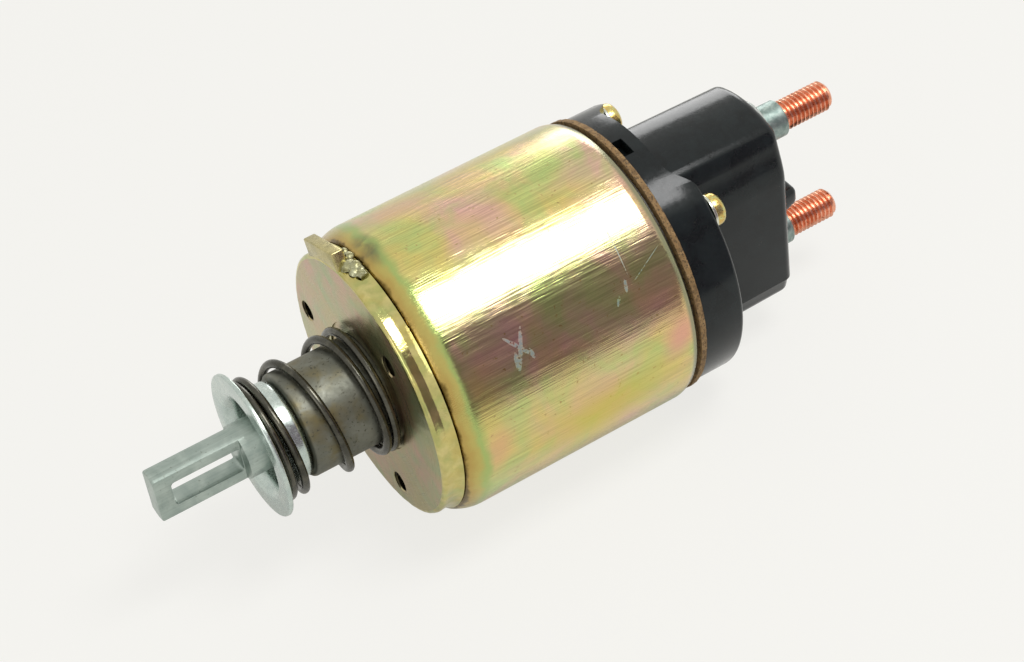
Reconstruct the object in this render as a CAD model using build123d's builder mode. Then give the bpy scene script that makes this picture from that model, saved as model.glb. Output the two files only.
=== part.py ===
"""Starter motor solenoid switch, built from its separate pieces.

Units are millimetres. X is the axis of the plunger: the mounting face lies at x = 0, the plunger
comes out towards -X and the studs stand out towards +X, one above the other along Z.
A clock angle is measured about X, from +Z towards +Y.
"""
from build123d import *
from math import cos, radians, sin, sqrt, tan
import os

os.makedirs("parts", exist_ok=True)

# Front plate and its tapped holes
plate_step = 2.7
plate_thickness = 5.6
plate_edge_round = 1.4
plate_waist_x = 2.6
plate_waist_drop = 0.3
plate_flare = 0.9
spring_recess_radius = 19.5
spring_recess_depth = 0.4
mount_hole_radius = 2.5
mount_hole_rims = (6.2, 11.5, 6.8)
mount_hole_clocks = (82.5, -40.3, -163.6)
screw_tip_room = 0.7

# Locating lug and its weld
lug_clock = 20.0
lug_length = 16.5
lug_reach = 3.2
lug_thickness = 3.2
lug_edge_chamfer = 0.4
lug_seat = 0.6
weld_radius = 1.15
weld_start_clock = -4.0
weld_sweep = 22.0

# Steel can
can_radius = 38.0
can_wall = 3.4
can_front_wall = 3.0
can_shoulder_round = 6.0
can_nose_drop = 1.7
can_step = 0.4
can_lip_length = 2.3
can_lip_drop = 0.9
can_setback = 1.0

# Plunger, guide sleeve and travel
plunger_radius = 13.7
plunger_length = 51.8
plunger_travel = 11.0
pole_gap = 0.2
plunger_front_chamfer = 1.2
plunger_tail_chamfer = 1.5
nose_radius = 10.4
nose_length = 4.0
plunger_bore_radius = 9.1
plunger_bore_depth = 27.5
running_gap = 0.06
sleeve_wall = 0.7
sleeve_recess = 2.0
sleeve_overlap = 6.0
plate_bore_gap = 0.3

# Coil
bobbin_length = 53.4
bobbin_wall = 1.4
bobbin_flange = 2.0
hold_in_depth = 5.7
wrap_room = 0.6
wrap_thickness = 0.7
fit_gap = 0.1

# Fixed core and its rear plate
core_nose_length = 21.0
core_plate_thickness = 10.8
core_edge_chamfer = 0.6

# Terminal cap
gasket_thickness = 1.6
gasket_step = 0.6
flange_step = 1.5
flange_thickness = 11.8
flange_edge_round = 1.2
flange_wall = 4.2
ledge_drop = 5.3
ledge_half_width = 14.5
ledge_slope = 6.0
ledge_round = 4.0
window_clock = -5.5
window_width = 5.8
window_depth = 3.2
chamber_inset = 10.5
boss_height = 41.1
boss_inset = 7.3
boss_draft = 1.0
boss_screw_gap = 1.7
boss_facet_step = 0.7
boss_facet_foot = 17.0
boss_step_foot = 14.0
boss_bevel_step = 2.0
boss_bevel_foot = 21.0
boss_corner_step = 3.3
boss_strip_foot = 20.0
boss_strip_step = 2.2
boss_edge_round = 1.8
boss_wall = 4.6
boss_side_wall = 3.5
boss_end_wall = 5.0
rib_thickness = 7.0
rib_foot_half_width = 13.0
rib_top_half_width = 11.0
rib_height = 6.0
rib_shift = 1.0
rib_round = 1.5

# Terminal studs
stud_radius = 4.0
stud_spacing = 36.0
stud_tip_x = 139.0
stud_tip_chamfer = 1.0
stud_head_width = 12.0
stud_head_inner = 7.5
stud_head_gap = 2.3
stud_head_thickness = 5.0
stud_neck_step = 0.2
stud_neck_reach = 0.8
collar_radius = 4.9
collar_length = 8.8
seal_radius = 8.0
seal_thickness = 1.8
bolt_gap = 0.05

# Cap screws
screw_inset = 6.3
screw_clock = 45.0
screw_radius = 2.5
screw_head_radius = 4.25
screw_head_height = 3.7
screw_head_bevel = 1.2
screw_length = 22.0
screw_tip_chamfer = 0.6
screw_hole_gap = 0.25
washer_radius = 4.7
washer_thickness = 0.8

# Coil terminal and the winding ends
blade_width = 6.3
blade_thickness = 0.8
blade_boss_gap = 6.5
blade_z = -8.0
blade_front = 4.0
blade_reach = 9.5
blade_tip_chamfer = 1.5
blade_pad_height = 1.6
blade_pad_margin = 2.0
lead_radius = 0.9
lead_hole_gap = 0.5

# Contact carrier
rod_radius = 3.0
rod_reach = 4.5
rod_tail = 1.3
rod_collar_radius = 5.0
rod_collar_length = 10.0
disc_radius = 11.5
disc_thickness = 2.2
disc_travel = 3.0
contact_gap = 0.1
bush_hub_radius = 4.5
bush_flange_radius = 6.4
bush_flange_thickness = 1.2
clip_radius = 6.0
clip_thickness = 1.0
rod_spring_wire = 0.45
rod_spring_radius = 5.0
rod_spring_turns = 2.5
rod_spring_seat_radius = 6.6
rod_spring_seat_depth = 2.0
contact_spring_wire = 0.6
contact_spring_radius = 3.9
contact_spring_turns = 3.0

# Spring seat cup and its clip
cup_sheet = 1.2
cup_crown_radius = 12.8
cup_brim_radius = 18.9
cup_depth = 9.45
cup_bend_radius = 1.9
clip_ring_depth = 0.45
clip_ring_height = 0.9
clip_ring_width = 1.0
clip_ring_gap = 50.0

# Return spring, counted from its front end
return_wire = 1.075
return_front_radius = 15.0
return_rear_radius = 15.95
return_closed_turns = 1.2
return_front_pitch = 2.2
return_ease_turns = 0.3
return_ease_pitch = 7.0
return_open_turns = 1.6
return_end_turns = 1.4
return_end_pitch = 2.3
return_start_clock = 46.0

# Slotted link and its spring in the plunger
link_radius = 7.0
link_tip_x = -58.8
link_crease_x = -35.9
link_half_thickness = 2.7
link_tip_chamfer = 0.6
slot_front_x = -54.5
slot_rear_x = -36.1
slot_half_height = 3.65
slot_corner_radius = 1.0
link_head_radius = 8.9
link_head_thickness = 3.0
link_head_gap = 0.3
link_collar_thickness = 3.0
link_collar_inset = 0.4
link_spring_wire = 0.8
link_spring_turns = 5.0

# Stations along X that follow from the sizes above
can_front_x = plate_thickness
coil_front_x = can_front_x + can_front_wall
core_plate_front_x = coil_front_x + bobbin_length
core_plate_back_x = core_plate_front_x + core_plate_thickness
can_rear_x = core_plate_back_x - can_setback
core_face_x = core_plate_front_x - core_nose_length
plunger_tail_x = core_face_x - plunger_travel - pole_gap
shoulder_x = plunger_tail_x - plunger_length
nose_x = shoulder_x - nose_length
cap_x = core_plate_back_x + gasket_thickness
flange_back_x = cap_x + flange_thickness
boss_back_x = cap_x + boss_height
chamber_end_x = boss_back_x - boss_end_wall
chamber_roof_x = flange_back_x - flange_wall
stud_contact_x = chamber_end_x - stud_head_thickness
disc_back_x = stud_contact_x - disc_travel - contact_gap
disc_front_x = disc_back_x - disc_thickness
bush_front_x = disc_front_x - bush_flange_thickness
bush_back_x = disc_back_x + bush_flange_thickness
rod_clip_back_x = bush_back_x + clip_thickness
rod_tip_x = core_face_x + pole_gap - rod_reach
rod_collar_front_x = core_plate_back_x + pole_gap
rod_collar_back_x = rod_collar_front_x + rod_collar_length
brim_x = shoulder_x - cup_depth
cup_floor_x = shoulder_x - cup_sheet
link_head_back_x = nose_x + plunger_bore_depth - link_head_gap
link_head_front_x = link_head_back_x - link_head_thickness
link_collar_front_x = nose_x + link_collar_inset
link_collar_back_x = link_collar_front_x + link_collar_thickness

# Radii that follow from the sizes above
can_inner_radius = can_radius - can_wall
can_inner_round = can_shoulder_round - can_front_wall
core_plate_radius = can_inner_radius + can_step
plate_radius = can_radius - plate_step
gasket_radius = can_radius - gasket_step
flange_radius = can_radius - flange_step
screw_circle_radius = can_radius - screw_inset
sleeve_inner_radius = plunger_radius + running_gap
sleeve_outer_radius = sleeve_inner_radius + sleeve_wall
bobbin_inner_radius = sleeve_outer_radius + fit_gap
bobbin_outer_radius = bobbin_inner_radius + bobbin_wall
bobbin_flange_radius = can_inner_radius - fit_gap
bobbin_front_radius = bobbin_flange_radius - can_inner_round
wrap_outer_radius = bobbin_front_radius - wrap_room
wrap_inner_radius = wrap_outer_radius - wrap_thickness
winding_split_radius = wrap_inner_radius - hold_in_depth
boss_radius = flange_radius - boss_inset
boss_chamber_radius = boss_radius - boss_wall
boss_flat = screw_circle_radius * cos(radians(screw_clock)) - washer_radius - boss_screw_gap
chamber_radius = flange_radius - chamber_inset
chamber_half_width = boss_flat - boss_side_wall
blade_y = boss_flat + blade_boss_gap
stud_head_outer = boss_chamber_radius - stud_head_gap
stud_neck_radius = stud_radius + stud_neck_step
clip_ring_radius = nose_radius - clip_ring_depth
stud_z = stud_spacing / 2


def on_clock(radius, clock):
    """Place (y, z) at a radius and a clock angle about the plunger's axis."""
    return (radius * sin(radians(clock)), radius * cos(radians(clock)))


mount_holes = [
    on_clock(plate_radius - rim, clock) for rim, clock in zip(mount_hole_rims, mount_hole_clocks)
]


def finish(piece, name):
    """Label a finished piece and write it as its own STEP file."""
    piece.part.label = name
    export_step(piece.part, f"parts/{name}.step")


def tube(outer, inner, front, back):
    """A plain tube round X between two stations."""
    with BuildPart() as piece:
        with BuildSketch(Plane.YZ.offset(front)):
            Circle(outer)
            Circle(inner, mode=Mode.SUBTRACT)
        extrude(amount=back - front)
    return piece


def helix_run(turns, pitch, radius, cone_angle, start_x, start_turn):
    """One stretch of a coil about X, turned so that it starts at its own place on the coil."""
    run = Helix(
        pitch=pitch / cos(radians(cone_angle)),
        height=turns * pitch,
        radius=radius,
        center=(start_x, 0, 0),
        direction=(1, 0, 0),
        cone_angle=cone_angle,
    )
    begin = run @ 0
    wanted = on_clock(1, -360 * start_turn)
    here = Vector(0, begin.Y, begin.Z)
    turn = here.get_signed_angle(Vector(0, *wanted), Vector(1, 0, 0))
    return run.rotate(Axis.X, turn)


def wound_spring(runs, wire_radius, front_x, front_radius, rear_radius, start_clock=0.0, sides=0):
    """A round wire wound in runs of (turns, pitch) from a front station towards +X."""
    length = sum(turns * pitch for turns, pitch in runs)
    growth = (rear_radius - front_radius) / length
    cone_angle = Vector(1, 0, 0).get_angle(Vector(1, growth, 0)) * (1 if growth >= 0 else -1)
    x = front_x + wire_radius
    turn = -start_clock / 360
    edges = []
    for turns, pitch in runs:
        radius = front_radius + growth * (x - front_x - wire_radius)
        edges.append(helix_run(turns, pitch, radius, cone_angle, x, turn))
        x += turns * pitch
        turn += turns
    with BuildPart() as piece:
        with BuildLine() as path:
            for edge in edges:
                add(edge)
        with BuildSketch(Plane(origin=path.wire() @ 0, z_dir=path.wire() % 0)):
            if sides:
                RegularPolygon(wire_radius, sides)
            else:
                Circle(wire_radius)
        sweep(path=path.wire(), is_frenet=True)
    return piece


# Front plate: a bored disc with a waisted, flaring rim, a shallow seat for the return spring and
# three tapped holes
with BuildPart() as front_plate:
    with BuildSketch(Plane.XZ):
        with BuildLine():
            rim_front = (0, plate_radius - plate_edge_round)
            rim_top = (plate_edge_round, plate_radius)
            waist = (plate_waist_x, plate_radius - plate_waist_drop)
            flare = (plate_thickness, plate_radius + plate_flare)
            rise = plate_flare + plate_waist_drop
            cove_radius = ((plate_thickness - plate_waist_x) ** 2 + rise**2) / 2 / rise
            Polyline((plate_thickness, 0), (0, 0), rim_front)
            RadiusArc(rim_front, rim_top, plate_edge_round)
            Line(rim_top, waist)
            RadiusArc(waist, flare, -cove_radius)
            Line(flare, (plate_thickness, 0))
        make_face()
    revolve(axis=Axis.X)
    with BuildSketch(Plane.YZ):
        Circle(spring_recess_radius)
    extrude(amount=spring_recess_depth, mode=Mode.SUBTRACT)
    with BuildSketch(Plane.YZ):
        Circle(plunger_radius + plate_bore_gap)
    extrude(amount=plate_thickness, mode=Mode.SUBTRACT)
    with BuildSketch(Plane.YZ.offset(sleeve_recess)):
        Circle(sleeve_outer_radius + bolt_gap)
    extrude(amount=plate_thickness - sleeve_recess, mode=Mode.SUBTRACT)
    with BuildSketch(Plane.YZ):
        with Locations(*mount_holes):
            Circle(mount_hole_radius)
    extrude(amount=plate_thickness, mode=Mode.SUBTRACT)
finish(front_plate, "front_plate")

# Locating lug: a straight key bar whose underside is shaped to the plate's rim
lug_top = plate_radius + lug_reach
lug_across = (0, cos(radians(lug_clock)), -sin(radians(lug_clock)))
lug_plane = Plane(origin=(0, 0, 0), x_dir=lug_across, z_dir=(1, 0, 0))
with BuildPart() as locating_lug:
    with BuildSketch(lug_plane):
        with Locations((0, lug_top / 2)):
            Rectangle(lug_length, lug_top)
        Circle(plate_radius - lug_seat, mode=Mode.SUBTRACT)
    extrude(amount=lug_thickness)
    add(front_plate.part, mode=Mode.SUBTRACT)
    top = locating_lug.faces().sort_by(Axis((0, 0, 0), (0, *on_clock(1, lug_clock))))[-1]
    chamfer(top.edges(), lug_edge_chamfer)
finish(locating_lug, "locating_lug")

# Weld bead behind the lug, following the plate's rim
with BuildPart() as lug_weld:
    with BuildSketch(Plane.XZ):
        with Locations((lug_thickness + weld_radius, plate_radius)):
            Circle(weld_radius)
    revolve(axis=Axis.X, revolution_arc=-weld_sweep)
    with BuildSketch(Plane.YZ):
        Circle(plate_radius - lug_seat)
    extrude(amount=plate_thickness, mode=Mode.SUBTRACT)
    add(front_plate.part, mode=Mode.SUBTRACT)
lug_weld.part = lug_weld.part.rotate(Axis.X, -weld_start_clock)
finish(lug_weld, "lug_weld")

# Can: drawn cup with a rounded front shoulder and a rolled rear lip, bored out for the core plate
with BuildPart() as housing_can:
    with BuildSketch(Plane.XZ):
        with BuildLine():
            hole = sleeve_outer_radius + plate_bore_gap
            shoulder_top = (can_front_x + can_shoulder_round, can_radius)
            shoulder_radius = (can_shoulder_round**2 + can_nose_drop**2) / 2 / can_nose_drop
            front_face = Line((can_front_x, hole), (can_front_x, can_radius - can_nose_drop))
            RadiusArc(front_face @ 1, shoulder_top, shoulder_radius)
            Line(shoulder_top, (can_rear_x - can_lip_length, can_radius))
            lip_top = (can_rear_x - can_lip_length, can_radius)
            lip_end = (can_rear_x, can_radius - can_lip_drop)
            RadiusArc(lip_top, lip_end, (can_lip_length**2 + can_lip_drop**2) / 2 / can_lip_drop)
            Polyline(
                lip_end,
                (can_rear_x, core_plate_radius),
                (core_plate_front_x, core_plate_radius),
                (core_plate_front_x, can_inner_radius),
                (coil_front_x + can_inner_round, can_inner_radius),
            )
            RadiusArc(
                (coil_front_x + can_inner_round, can_inner_radius),
                (coil_front_x, can_inner_radius - can_inner_round),
                -can_inner_round,
            )
            Polyline(
                (coil_front_x, can_inner_radius - can_inner_round),
                (coil_front_x, hole),
                front_face @ 0,
            )
        make_face()
    revolve(axis=Axis.X)
    with BuildSketch(Plane.YZ.offset(can_front_x)):
        with Locations(*mount_holes):
            Circle(mount_hole_radius + screw_tip_room)
    extrude(amount=can_front_wall, mode=Mode.SUBTRACT)
finish(housing_can, "housing_can")

# Guide sleeve that the plunger runs in and the core's nose closes
guide_sleeve = tube(sleeve_outer_radius, sleeve_inner_radius, sleeve_recess, core_face_x + sleeve_overlap)
finish(guide_sleeve, "guide_sleeve")

# Bobbin with a hole in its rear flange for each winding end
lead_places = ((blade_y - blade_thickness / 2 - lead_radius, blade_z), (0, -stud_z))
with BuildPart() as coil_bobbin:
    with BuildSketch(Plane.YZ.offset(coil_front_x)):
        Circle(bobbin_outer_radius)
    extrude(amount=bobbin_length)
    rear_flange_x = core_plate_front_x - bobbin_flange
    flanges = ((coil_front_x, bobbin_front_radius), (rear_flange_x, bobbin_flange_radius))
    for flange_x, flange_size in flanges:
        with BuildSketch(Plane.YZ.offset(flange_x)):
            Circle(flange_size)
        extrude(amount=bobbin_flange)
    with BuildSketch(Plane.YZ.offset(coil_front_x)):
        Circle(bobbin_inner_radius)
    extrude(amount=bobbin_length, mode=Mode.SUBTRACT)
    with BuildSketch(Plane.YZ.offset(rear_flange_x)):
        with Locations(*lead_places):
            Circle(lead_radius + lead_hole_gap)
    extrude(amount=bobbin_flange, mode=Mode.SUBTRACT)
finish(coil_bobbin, "coil_bobbin")

# The two windings, one over the other, and the wrap round them
winding_front_x = coil_front_x + bobbin_flange
winding_back_x = core_plate_front_x - bobbin_flange
pull_in_winding = tube(winding_split_radius, bobbin_outer_radius + fit_gap, winding_front_x, winding_back_x)
finish(pull_in_winding, "pull_in_winding")
hold_in_winding = tube(
    wrap_inner_radius - fit_gap, winding_split_radius + fit_gap, winding_front_x, winding_back_x
)
finish(hold_in_winding, "hold_in_winding")
coil_wrap = tube(wrap_outer_radius, wrap_inner_radius, winding_front_x, winding_back_x)
finish(coil_wrap, "coil_wrap")

# Fixed core: the pole piece inside the sleeve and the thick plate that closes the can
cap_screw_places = [on_clock(screw_circle_radius, screw_clock + 90 * quarter) for quarter in range(4)]
with BuildPart() as stationary_core:
    with BuildSketch(Plane.YZ.offset(core_face_x)):
        Circle(sleeve_inner_radius - running_gap)
    extrude(amount=core_nose_length)
    chamfer(stationary_core.edges().group_by(Axis.X)[0], core_edge_chamfer)
    with BuildSketch(Plane.YZ.offset(core_plate_front_x)):
        Circle(core_plate_radius - bolt_gap)
    extrude(amount=core_plate_thickness)
    with BuildSketch(Plane.YZ.offset(core_face_x)):
        Circle(rod_radius + running_gap)
    extrude(amount=core_nose_length + core_plate_thickness, mode=Mode.SUBTRACT)
    with BuildSketch(Plane.YZ.offset(core_plate_front_x)):
        with Locations(*cap_screw_places):
            Circle(screw_radius + bolt_gap)
        with Locations(*lead_places):
            Circle(lead_radius + lead_hole_gap)
    extrude(amount=core_plate_thickness, mode=Mode.SUBTRACT)
finish(stationary_core, "stationary_core")

# Gasket between the core plate and the cap
with BuildPart() as gasket:
    with BuildSketch(Plane.YZ.offset(core_plate_back_x)):
        Circle(gasket_radius)
        Circle(chamber_radius, mode=Mode.SUBTRACT)
        with Locations(*cap_screw_places):
            Circle(screw_radius + screw_hole_gap, mode=Mode.SUBTRACT)
    extrude(amount=gasket_thickness)
finish(gasket, "gasket")


def boss_outline(grow):
    """Section of the cap's boss: a round top and foot, with stepped and bevelled flats at its sides."""
    radius = boss_radius + grow

    def rim(y):
        return sqrt(radius**2 - y**2)

    flat = boss_flat + grow
    corner = flat - boss_corner_step
    strip = flat - boss_strip_step
    side = [
        (corner, rim(corner)),
        (flat - boss_bevel_step, boss_bevel_foot),
        (flat - boss_facet_step, boss_facet_foot),
        (flat, boss_step_foot),
        (flat, -boss_strip_foot),
        (flat - boss_facet_step, -boss_strip_foot),
        (strip, -rim(strip)),
    ]
    other = [(-y, z) for y, z in reversed(side)]
    with BuildLine() as line:
        Polyline(*side)
        ThreePointArc(side[-1], (0, -radius), other[0])
        Polyline(*other)
        ThreePointArc(other[-1], (0, radius), side[0])
    return line


# Levels of the boss: drafted sides up to its edge, then the rounded edge in three steps
boss_foot_x = flange_back_x - ledge_drop
boss_edge_x = boss_back_x - boss_edge_round
boss_levels = [(boss_foot_x, (boss_edge_x - boss_foot_x) * tan(radians(boss_draft)))]
for angle in (0, 30, 60, 90):
    boss_levels.append(
        (
            boss_edge_x + boss_edge_round * sin(radians(angle)),
            boss_edge_round * (cos(radians(angle)) - 1),
        )
    )

# Terminal cap: flange with lowered ledges, high boss between flats, barrier rib and open chamber
with BuildPart() as terminal_cap:
    with BuildSketch(Plane.YZ.offset(cap_x)):
        Circle(flange_radius)
    extrude(amount=flange_thickness)
    fillet(terminal_cap.edges().group_by(Axis.X)[-1], flange_edge_round)
    for end in (1, -1):
        with BuildSketch(Plane.XY.offset(end * flange_radius)):
            with BuildLine():
                floor = flange_back_x - ledge_drop
                mouth = flange_back_x + flange_edge_round
                foot = ledge_half_width
                brow = ledge_half_width + ledge_slope
                FilletPolyline(
                    (flange_back_x, -flange_radius),
                    (flange_back_x, -brow),
                    (floor, -foot),
                    (floor, foot),
                    (flange_back_x, brow),
                    (flange_back_x, flange_radius),
                    radius=ledge_round,
                )
                Polyline(
                    (flange_back_x, flange_radius),
                    (mouth, flange_radius),
                    (mouth, -flange_radius),
                    (flange_back_x, -flange_radius),
                )
            make_face()
        extrude(amount=-end * (flange_radius - boss_flat), mode=Mode.SUBTRACT)
    for (low_x, low_grow), (high_x, high_grow) in zip(boss_levels, boss_levels[1:]):
        with BuildSketch(Plane.YZ.offset(low_x)):
            add(boss_outline(low_grow).line)
            make_face()
        with BuildSketch(Plane.YZ.offset(high_x)):
            add(boss_outline(high_grow).line)
            make_face()
        loft(ruled=True)
    with BuildSketch(Plane.YZ.offset(boss_back_x)):
        with BuildLine():
            low = rib_shift - rib_thickness / 2
            high = rib_shift + rib_thickness / 2
            Polyline(
                (-rib_foot_half_width, low),
                (-rib_foot_half_width, high),
                (rib_foot_half_width, high),
                (rib_foot_half_width, low),
                close=True,
            )
        make_face()
    with BuildSketch(Plane.YZ.offset(boss_back_x + rib_height)):
        with BuildLine():
            slim = rib_foot_half_width - rib_top_half_width
            Polyline(
                (-rib_top_half_width, low + slim / 2),
                (-rib_top_half_width, high - slim / 2),
                (rib_top_half_width, high - slim / 2),
                (rib_top_half_width, low + slim / 2),
                close=True,
            )
        make_face()
    loft(ruled=True)
    fillet(terminal_cap.edges().group_by(Axis.X)[-1], rib_round)
    with BuildSketch(Plane.YZ.offset(cap_x)):
        Circle(chamber_radius)
    extrude(amount=chamber_roof_x - cap_x, mode=Mode.SUBTRACT)
    with BuildSketch(Plane.YZ.offset(chamber_roof_x)):
        Circle(boss_chamber_radius)
        Rectangle(2 * chamber_half_width, 2 * boss_radius, mode=Mode.INTERSECT)
    extrude(amount=chamber_end_x - chamber_roof_x, mode=Mode.SUBTRACT)
    with BuildSketch(Plane.YZ.offset(chamber_end_x)):
        Circle(rod_spring_seat_radius)
    extrude(amount=rod_spring_seat_depth, mode=Mode.SUBTRACT)
    with BuildSketch(Plane.YZ.offset(chamber_end_x)):
        with Locations((0, stud_z), (0, -stud_z)):
            Circle(stud_neck_radius + bolt_gap)
    extrude(amount=boss_end_wall, mode=Mode.SUBTRACT)
    with BuildSketch(Plane.YZ.offset(cap_x)):
        with Locations(*cap_screw_places):
            Circle(screw_radius + screw_hole_gap)
    extrude(amount=flange_thickness, mode=Mode.SUBTRACT)
    window_plane = Plane(
        origin=(cap_x + window_depth / 2, 0, 0),
        x_dir=(1, 0, 0),
        z_dir=(0, *on_clock(1, window_clock)),
    )
    with BuildSketch(window_plane.offset(flange_radius - window_depth)):
        Rectangle(window_depth, window_width)
    extrude(amount=2 * window_depth, mode=Mode.SUBTRACT)
    with BuildSketch(Plane.YZ.offset(flange_back_x)):
        with Locations((blade_y, blade_z)):
            Rectangle(blade_thickness + 2 * blade_pad_margin, blade_width + 2 * blade_pad_margin)
    extrude(amount=blade_pad_height)
    with BuildSketch(Plane.YZ.offset(chamber_roof_x)):
        with Locations((blade_y, blade_z)):
            Rectangle(blade_thickness + 2 * bolt_gap, blade_width + 2 * bolt_gap)
    extrude(amount=flange_wall + blade_pad_height, mode=Mode.SUBTRACT)
finish(terminal_cap, "terminal_cap")

# Studs: broad contact head inside the chamber, neck in the wall and collar, thread outside
stud_neck_end_x = boss_back_x + collar_length + stud_neck_reach
head_middle = (stud_head_inner + stud_head_outer) / 2
for name, side in (("battery_stud", 1), ("motor_stud", -1)):
    with BuildPart() as stud:
        with BuildSketch(Plane.YZ.offset(stud_contact_x)):
            with Locations((0, side * head_middle)):
                RectangleRounded(stud_head_width, stud_head_outer - stud_head_inner, 1)
        extrude(amount=stud_head_thickness)
        with BuildSketch(Plane.YZ.offset(chamber_end_x)):
            with Locations((0, side * stud_z)):
                Circle(stud_neck_radius)
        extrude(amount=stud_neck_end_x - chamber_end_x)
        with BuildSketch(Plane.YZ.offset(stud_neck_end_x)):
            with Locations((0, side * stud_z)):
                Circle(stud_radius)
        extrude(amount=stud_tip_x - stud_neck_end_x)
        chamfer(stud.edges().group_by(Axis.X)[-1], stud_tip_chamfer)
    finish(stud, name)

# Collars pressed over the studs' feet, and the clear seals under them
with BuildPart() as stud_collars:
    with BuildSketch(Plane.YZ.offset(boss_back_x)):
        with Locations((0, stud_z), (0, -stud_z)):
            Circle(collar_radius)
            Circle(stud_neck_radius + bolt_gap, mode=Mode.SUBTRACT)
    extrude(amount=collar_length)
finish(stud_collars, "stud_collars")
with BuildPart() as stud_seals:
    with BuildSketch(Plane.YZ.offset(boss_back_x)):
        with Locations((0, stud_z), (0, -stud_z)):
            Circle(seal_radius)
            Circle(collar_radius + bolt_gap, mode=Mode.SUBTRACT)
    extrude(amount=seal_thickness)
finish(stud_seals, "stud_seals")

# Four cap screws with their washers
with BuildPart() as cap_washers:
    with BuildSketch(Plane.YZ.offset(flange_back_x)):
        with Locations(*cap_screw_places):
            Circle(washer_radius)
            Circle(screw_radius + screw_hole_gap, mode=Mode.SUBTRACT)
    extrude(amount=washer_thickness)
finish(cap_washers, "cap_washers")
screw_seat_x = flange_back_x + washer_thickness
with BuildPart() as cap_screws:
    with BuildSketch(Plane.YZ.offset(screw_seat_x)):
        with Locations(*cap_screw_places):
            Circle(screw_head_radius)
    extrude(amount=screw_head_height)
    chamfer(cap_screws.edges().group_by(Axis.X)[-1], screw_head_bevel)
    with BuildSketch(Plane.YZ.offset(screw_seat_x)):
        with Locations(*cap_screw_places):
            Circle(screw_radius)
    extrude(amount=-screw_length)
    chamfer(cap_screws.edges().group_by(Axis.X)[0], screw_tip_chamfer)
finish(cap_screws, "cap_screws")

# Coil terminal: a flat blade through the flange, on the side away from the plate's lug
with BuildPart() as coil_terminal:
    with BuildSketch(Plane.XZ.offset(-blade_y)):
        with Locations(((chamber_roof_x + flange_back_x + blade_reach - blade_front) / 2, blade_z)):
            Rectangle(flange_wall + blade_reach + blade_front, blade_width)
    extrude(amount=blade_thickness / 2, both=True)
    tip = coil_terminal.faces().sort_by(Axis.X)[-1]
    chamfer(tip.edges().filter_by(Axis.Y), blade_tip_chamfer)
finish(coil_terminal, "coil_terminal")

# Ends of the windings: one soldered along the blade, one to the head of the motor stud
lead_ends = (("trigger_lead", chamber_roof_x), ("motor_lead", stud_contact_x))
for (name, end_x), place in zip(lead_ends, lead_places):
    with BuildPart() as lead:
        with BuildSketch(Plane.YZ.offset(winding_back_x)):
            with Locations(place):
                Circle(lead_radius)
        extrude(amount=end_x - winding_back_x)
    finish(lead, name)

# Plunger: solid steel barrel with a nose for the cup and a bore for the link
with BuildPart() as plunger:
    with BuildSketch(Plane.XZ):
        with BuildLine():
            groove_front_x = cup_floor_x - clip_ring_width
            Polyline(
                (nose_x, plunger_bore_radius),
                (nose_x, nose_radius),
                (groove_front_x, nose_radius),
                (groove_front_x, clip_ring_radius - bolt_gap),
                (cup_floor_x, clip_ring_radius - bolt_gap),
                (cup_floor_x, nose_radius),
                (shoulder_x, nose_radius),
                (shoulder_x, plunger_radius - plunger_front_chamfer),
                (shoulder_x + plunger_front_chamfer, plunger_radius),
                (plunger_tail_x - plunger_tail_chamfer, plunger_radius),
                (plunger_tail_x, plunger_radius - plunger_tail_chamfer),
                (plunger_tail_x, 0),
                (nose_x + plunger_bore_depth, 0),
                (nose_x + plunger_bore_depth, plunger_bore_radius),
                close=True,
            )
        make_face()
    revolve(axis=Axis.X)
finish(plunger, "plunger")

# Ring in the plunger's mouth that keeps the link in
link_collar = tube(
    plunger_bore_radius - bolt_gap, link_radius + fit_gap, link_collar_front_x, link_collar_back_x
)
finish(link_collar, "link_collar")

# Snap ring on the nose that keeps the cup on the plunger
with BuildPart() as seat_clip:
    with BuildSketch(Plane.XZ):
        with Locations((cup_floor_x - clip_ring_width / 2, clip_ring_radius + clip_ring_height / 2)):
            Rectangle(clip_ring_width, clip_ring_height)
    revolve(axis=Axis.X, revolution_arc=360 - clip_ring_gap)
finish(seat_clip, "seat_clip")

# Spring seat: a pressed cup, its floor against the barrel and its brim under the return spring
with BuildPart() as spring_seat:
    with BuildSketch(Plane.XZ):
        with BuildLine():
            sheet_line = FilletPolyline(
                (shoulder_x, nose_radius + running_gap),
                (shoulder_x, cup_crown_radius),
                (brim_x, cup_crown_radius),
                (brim_x, cup_brim_radius),
                radius=cup_bend_radius,
            )
            offset(sheet_line, amount=cup_sheet, side=Side.LEFT, closed=True)
        make_face()
    revolve(axis=Axis.X)
finish(spring_seat, "spring_seat")

# Return spring: closed end coils, wide coils between them, slightly larger at the plate
closed_length = return_closed_turns * return_front_pitch + return_end_turns * return_end_pitch
ease_length = 2 * return_ease_turns * return_ease_pitch
open_length = spring_recess_depth - brim_x - 2 * return_wire - closed_length - ease_length
return_spring = wound_spring(
    (
        (return_closed_turns, return_front_pitch),
        (return_ease_turns, return_ease_pitch),
        (return_open_turns, open_length / return_open_turns),
        (return_ease_turns, return_ease_pitch),
        (return_end_turns, return_end_pitch),
    ),
    return_wire,
    brim_x,
    return_front_radius,
    return_rear_radius,
    return_start_clock,
    sides=8,
)
finish(return_spring, "return_spring")

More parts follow.
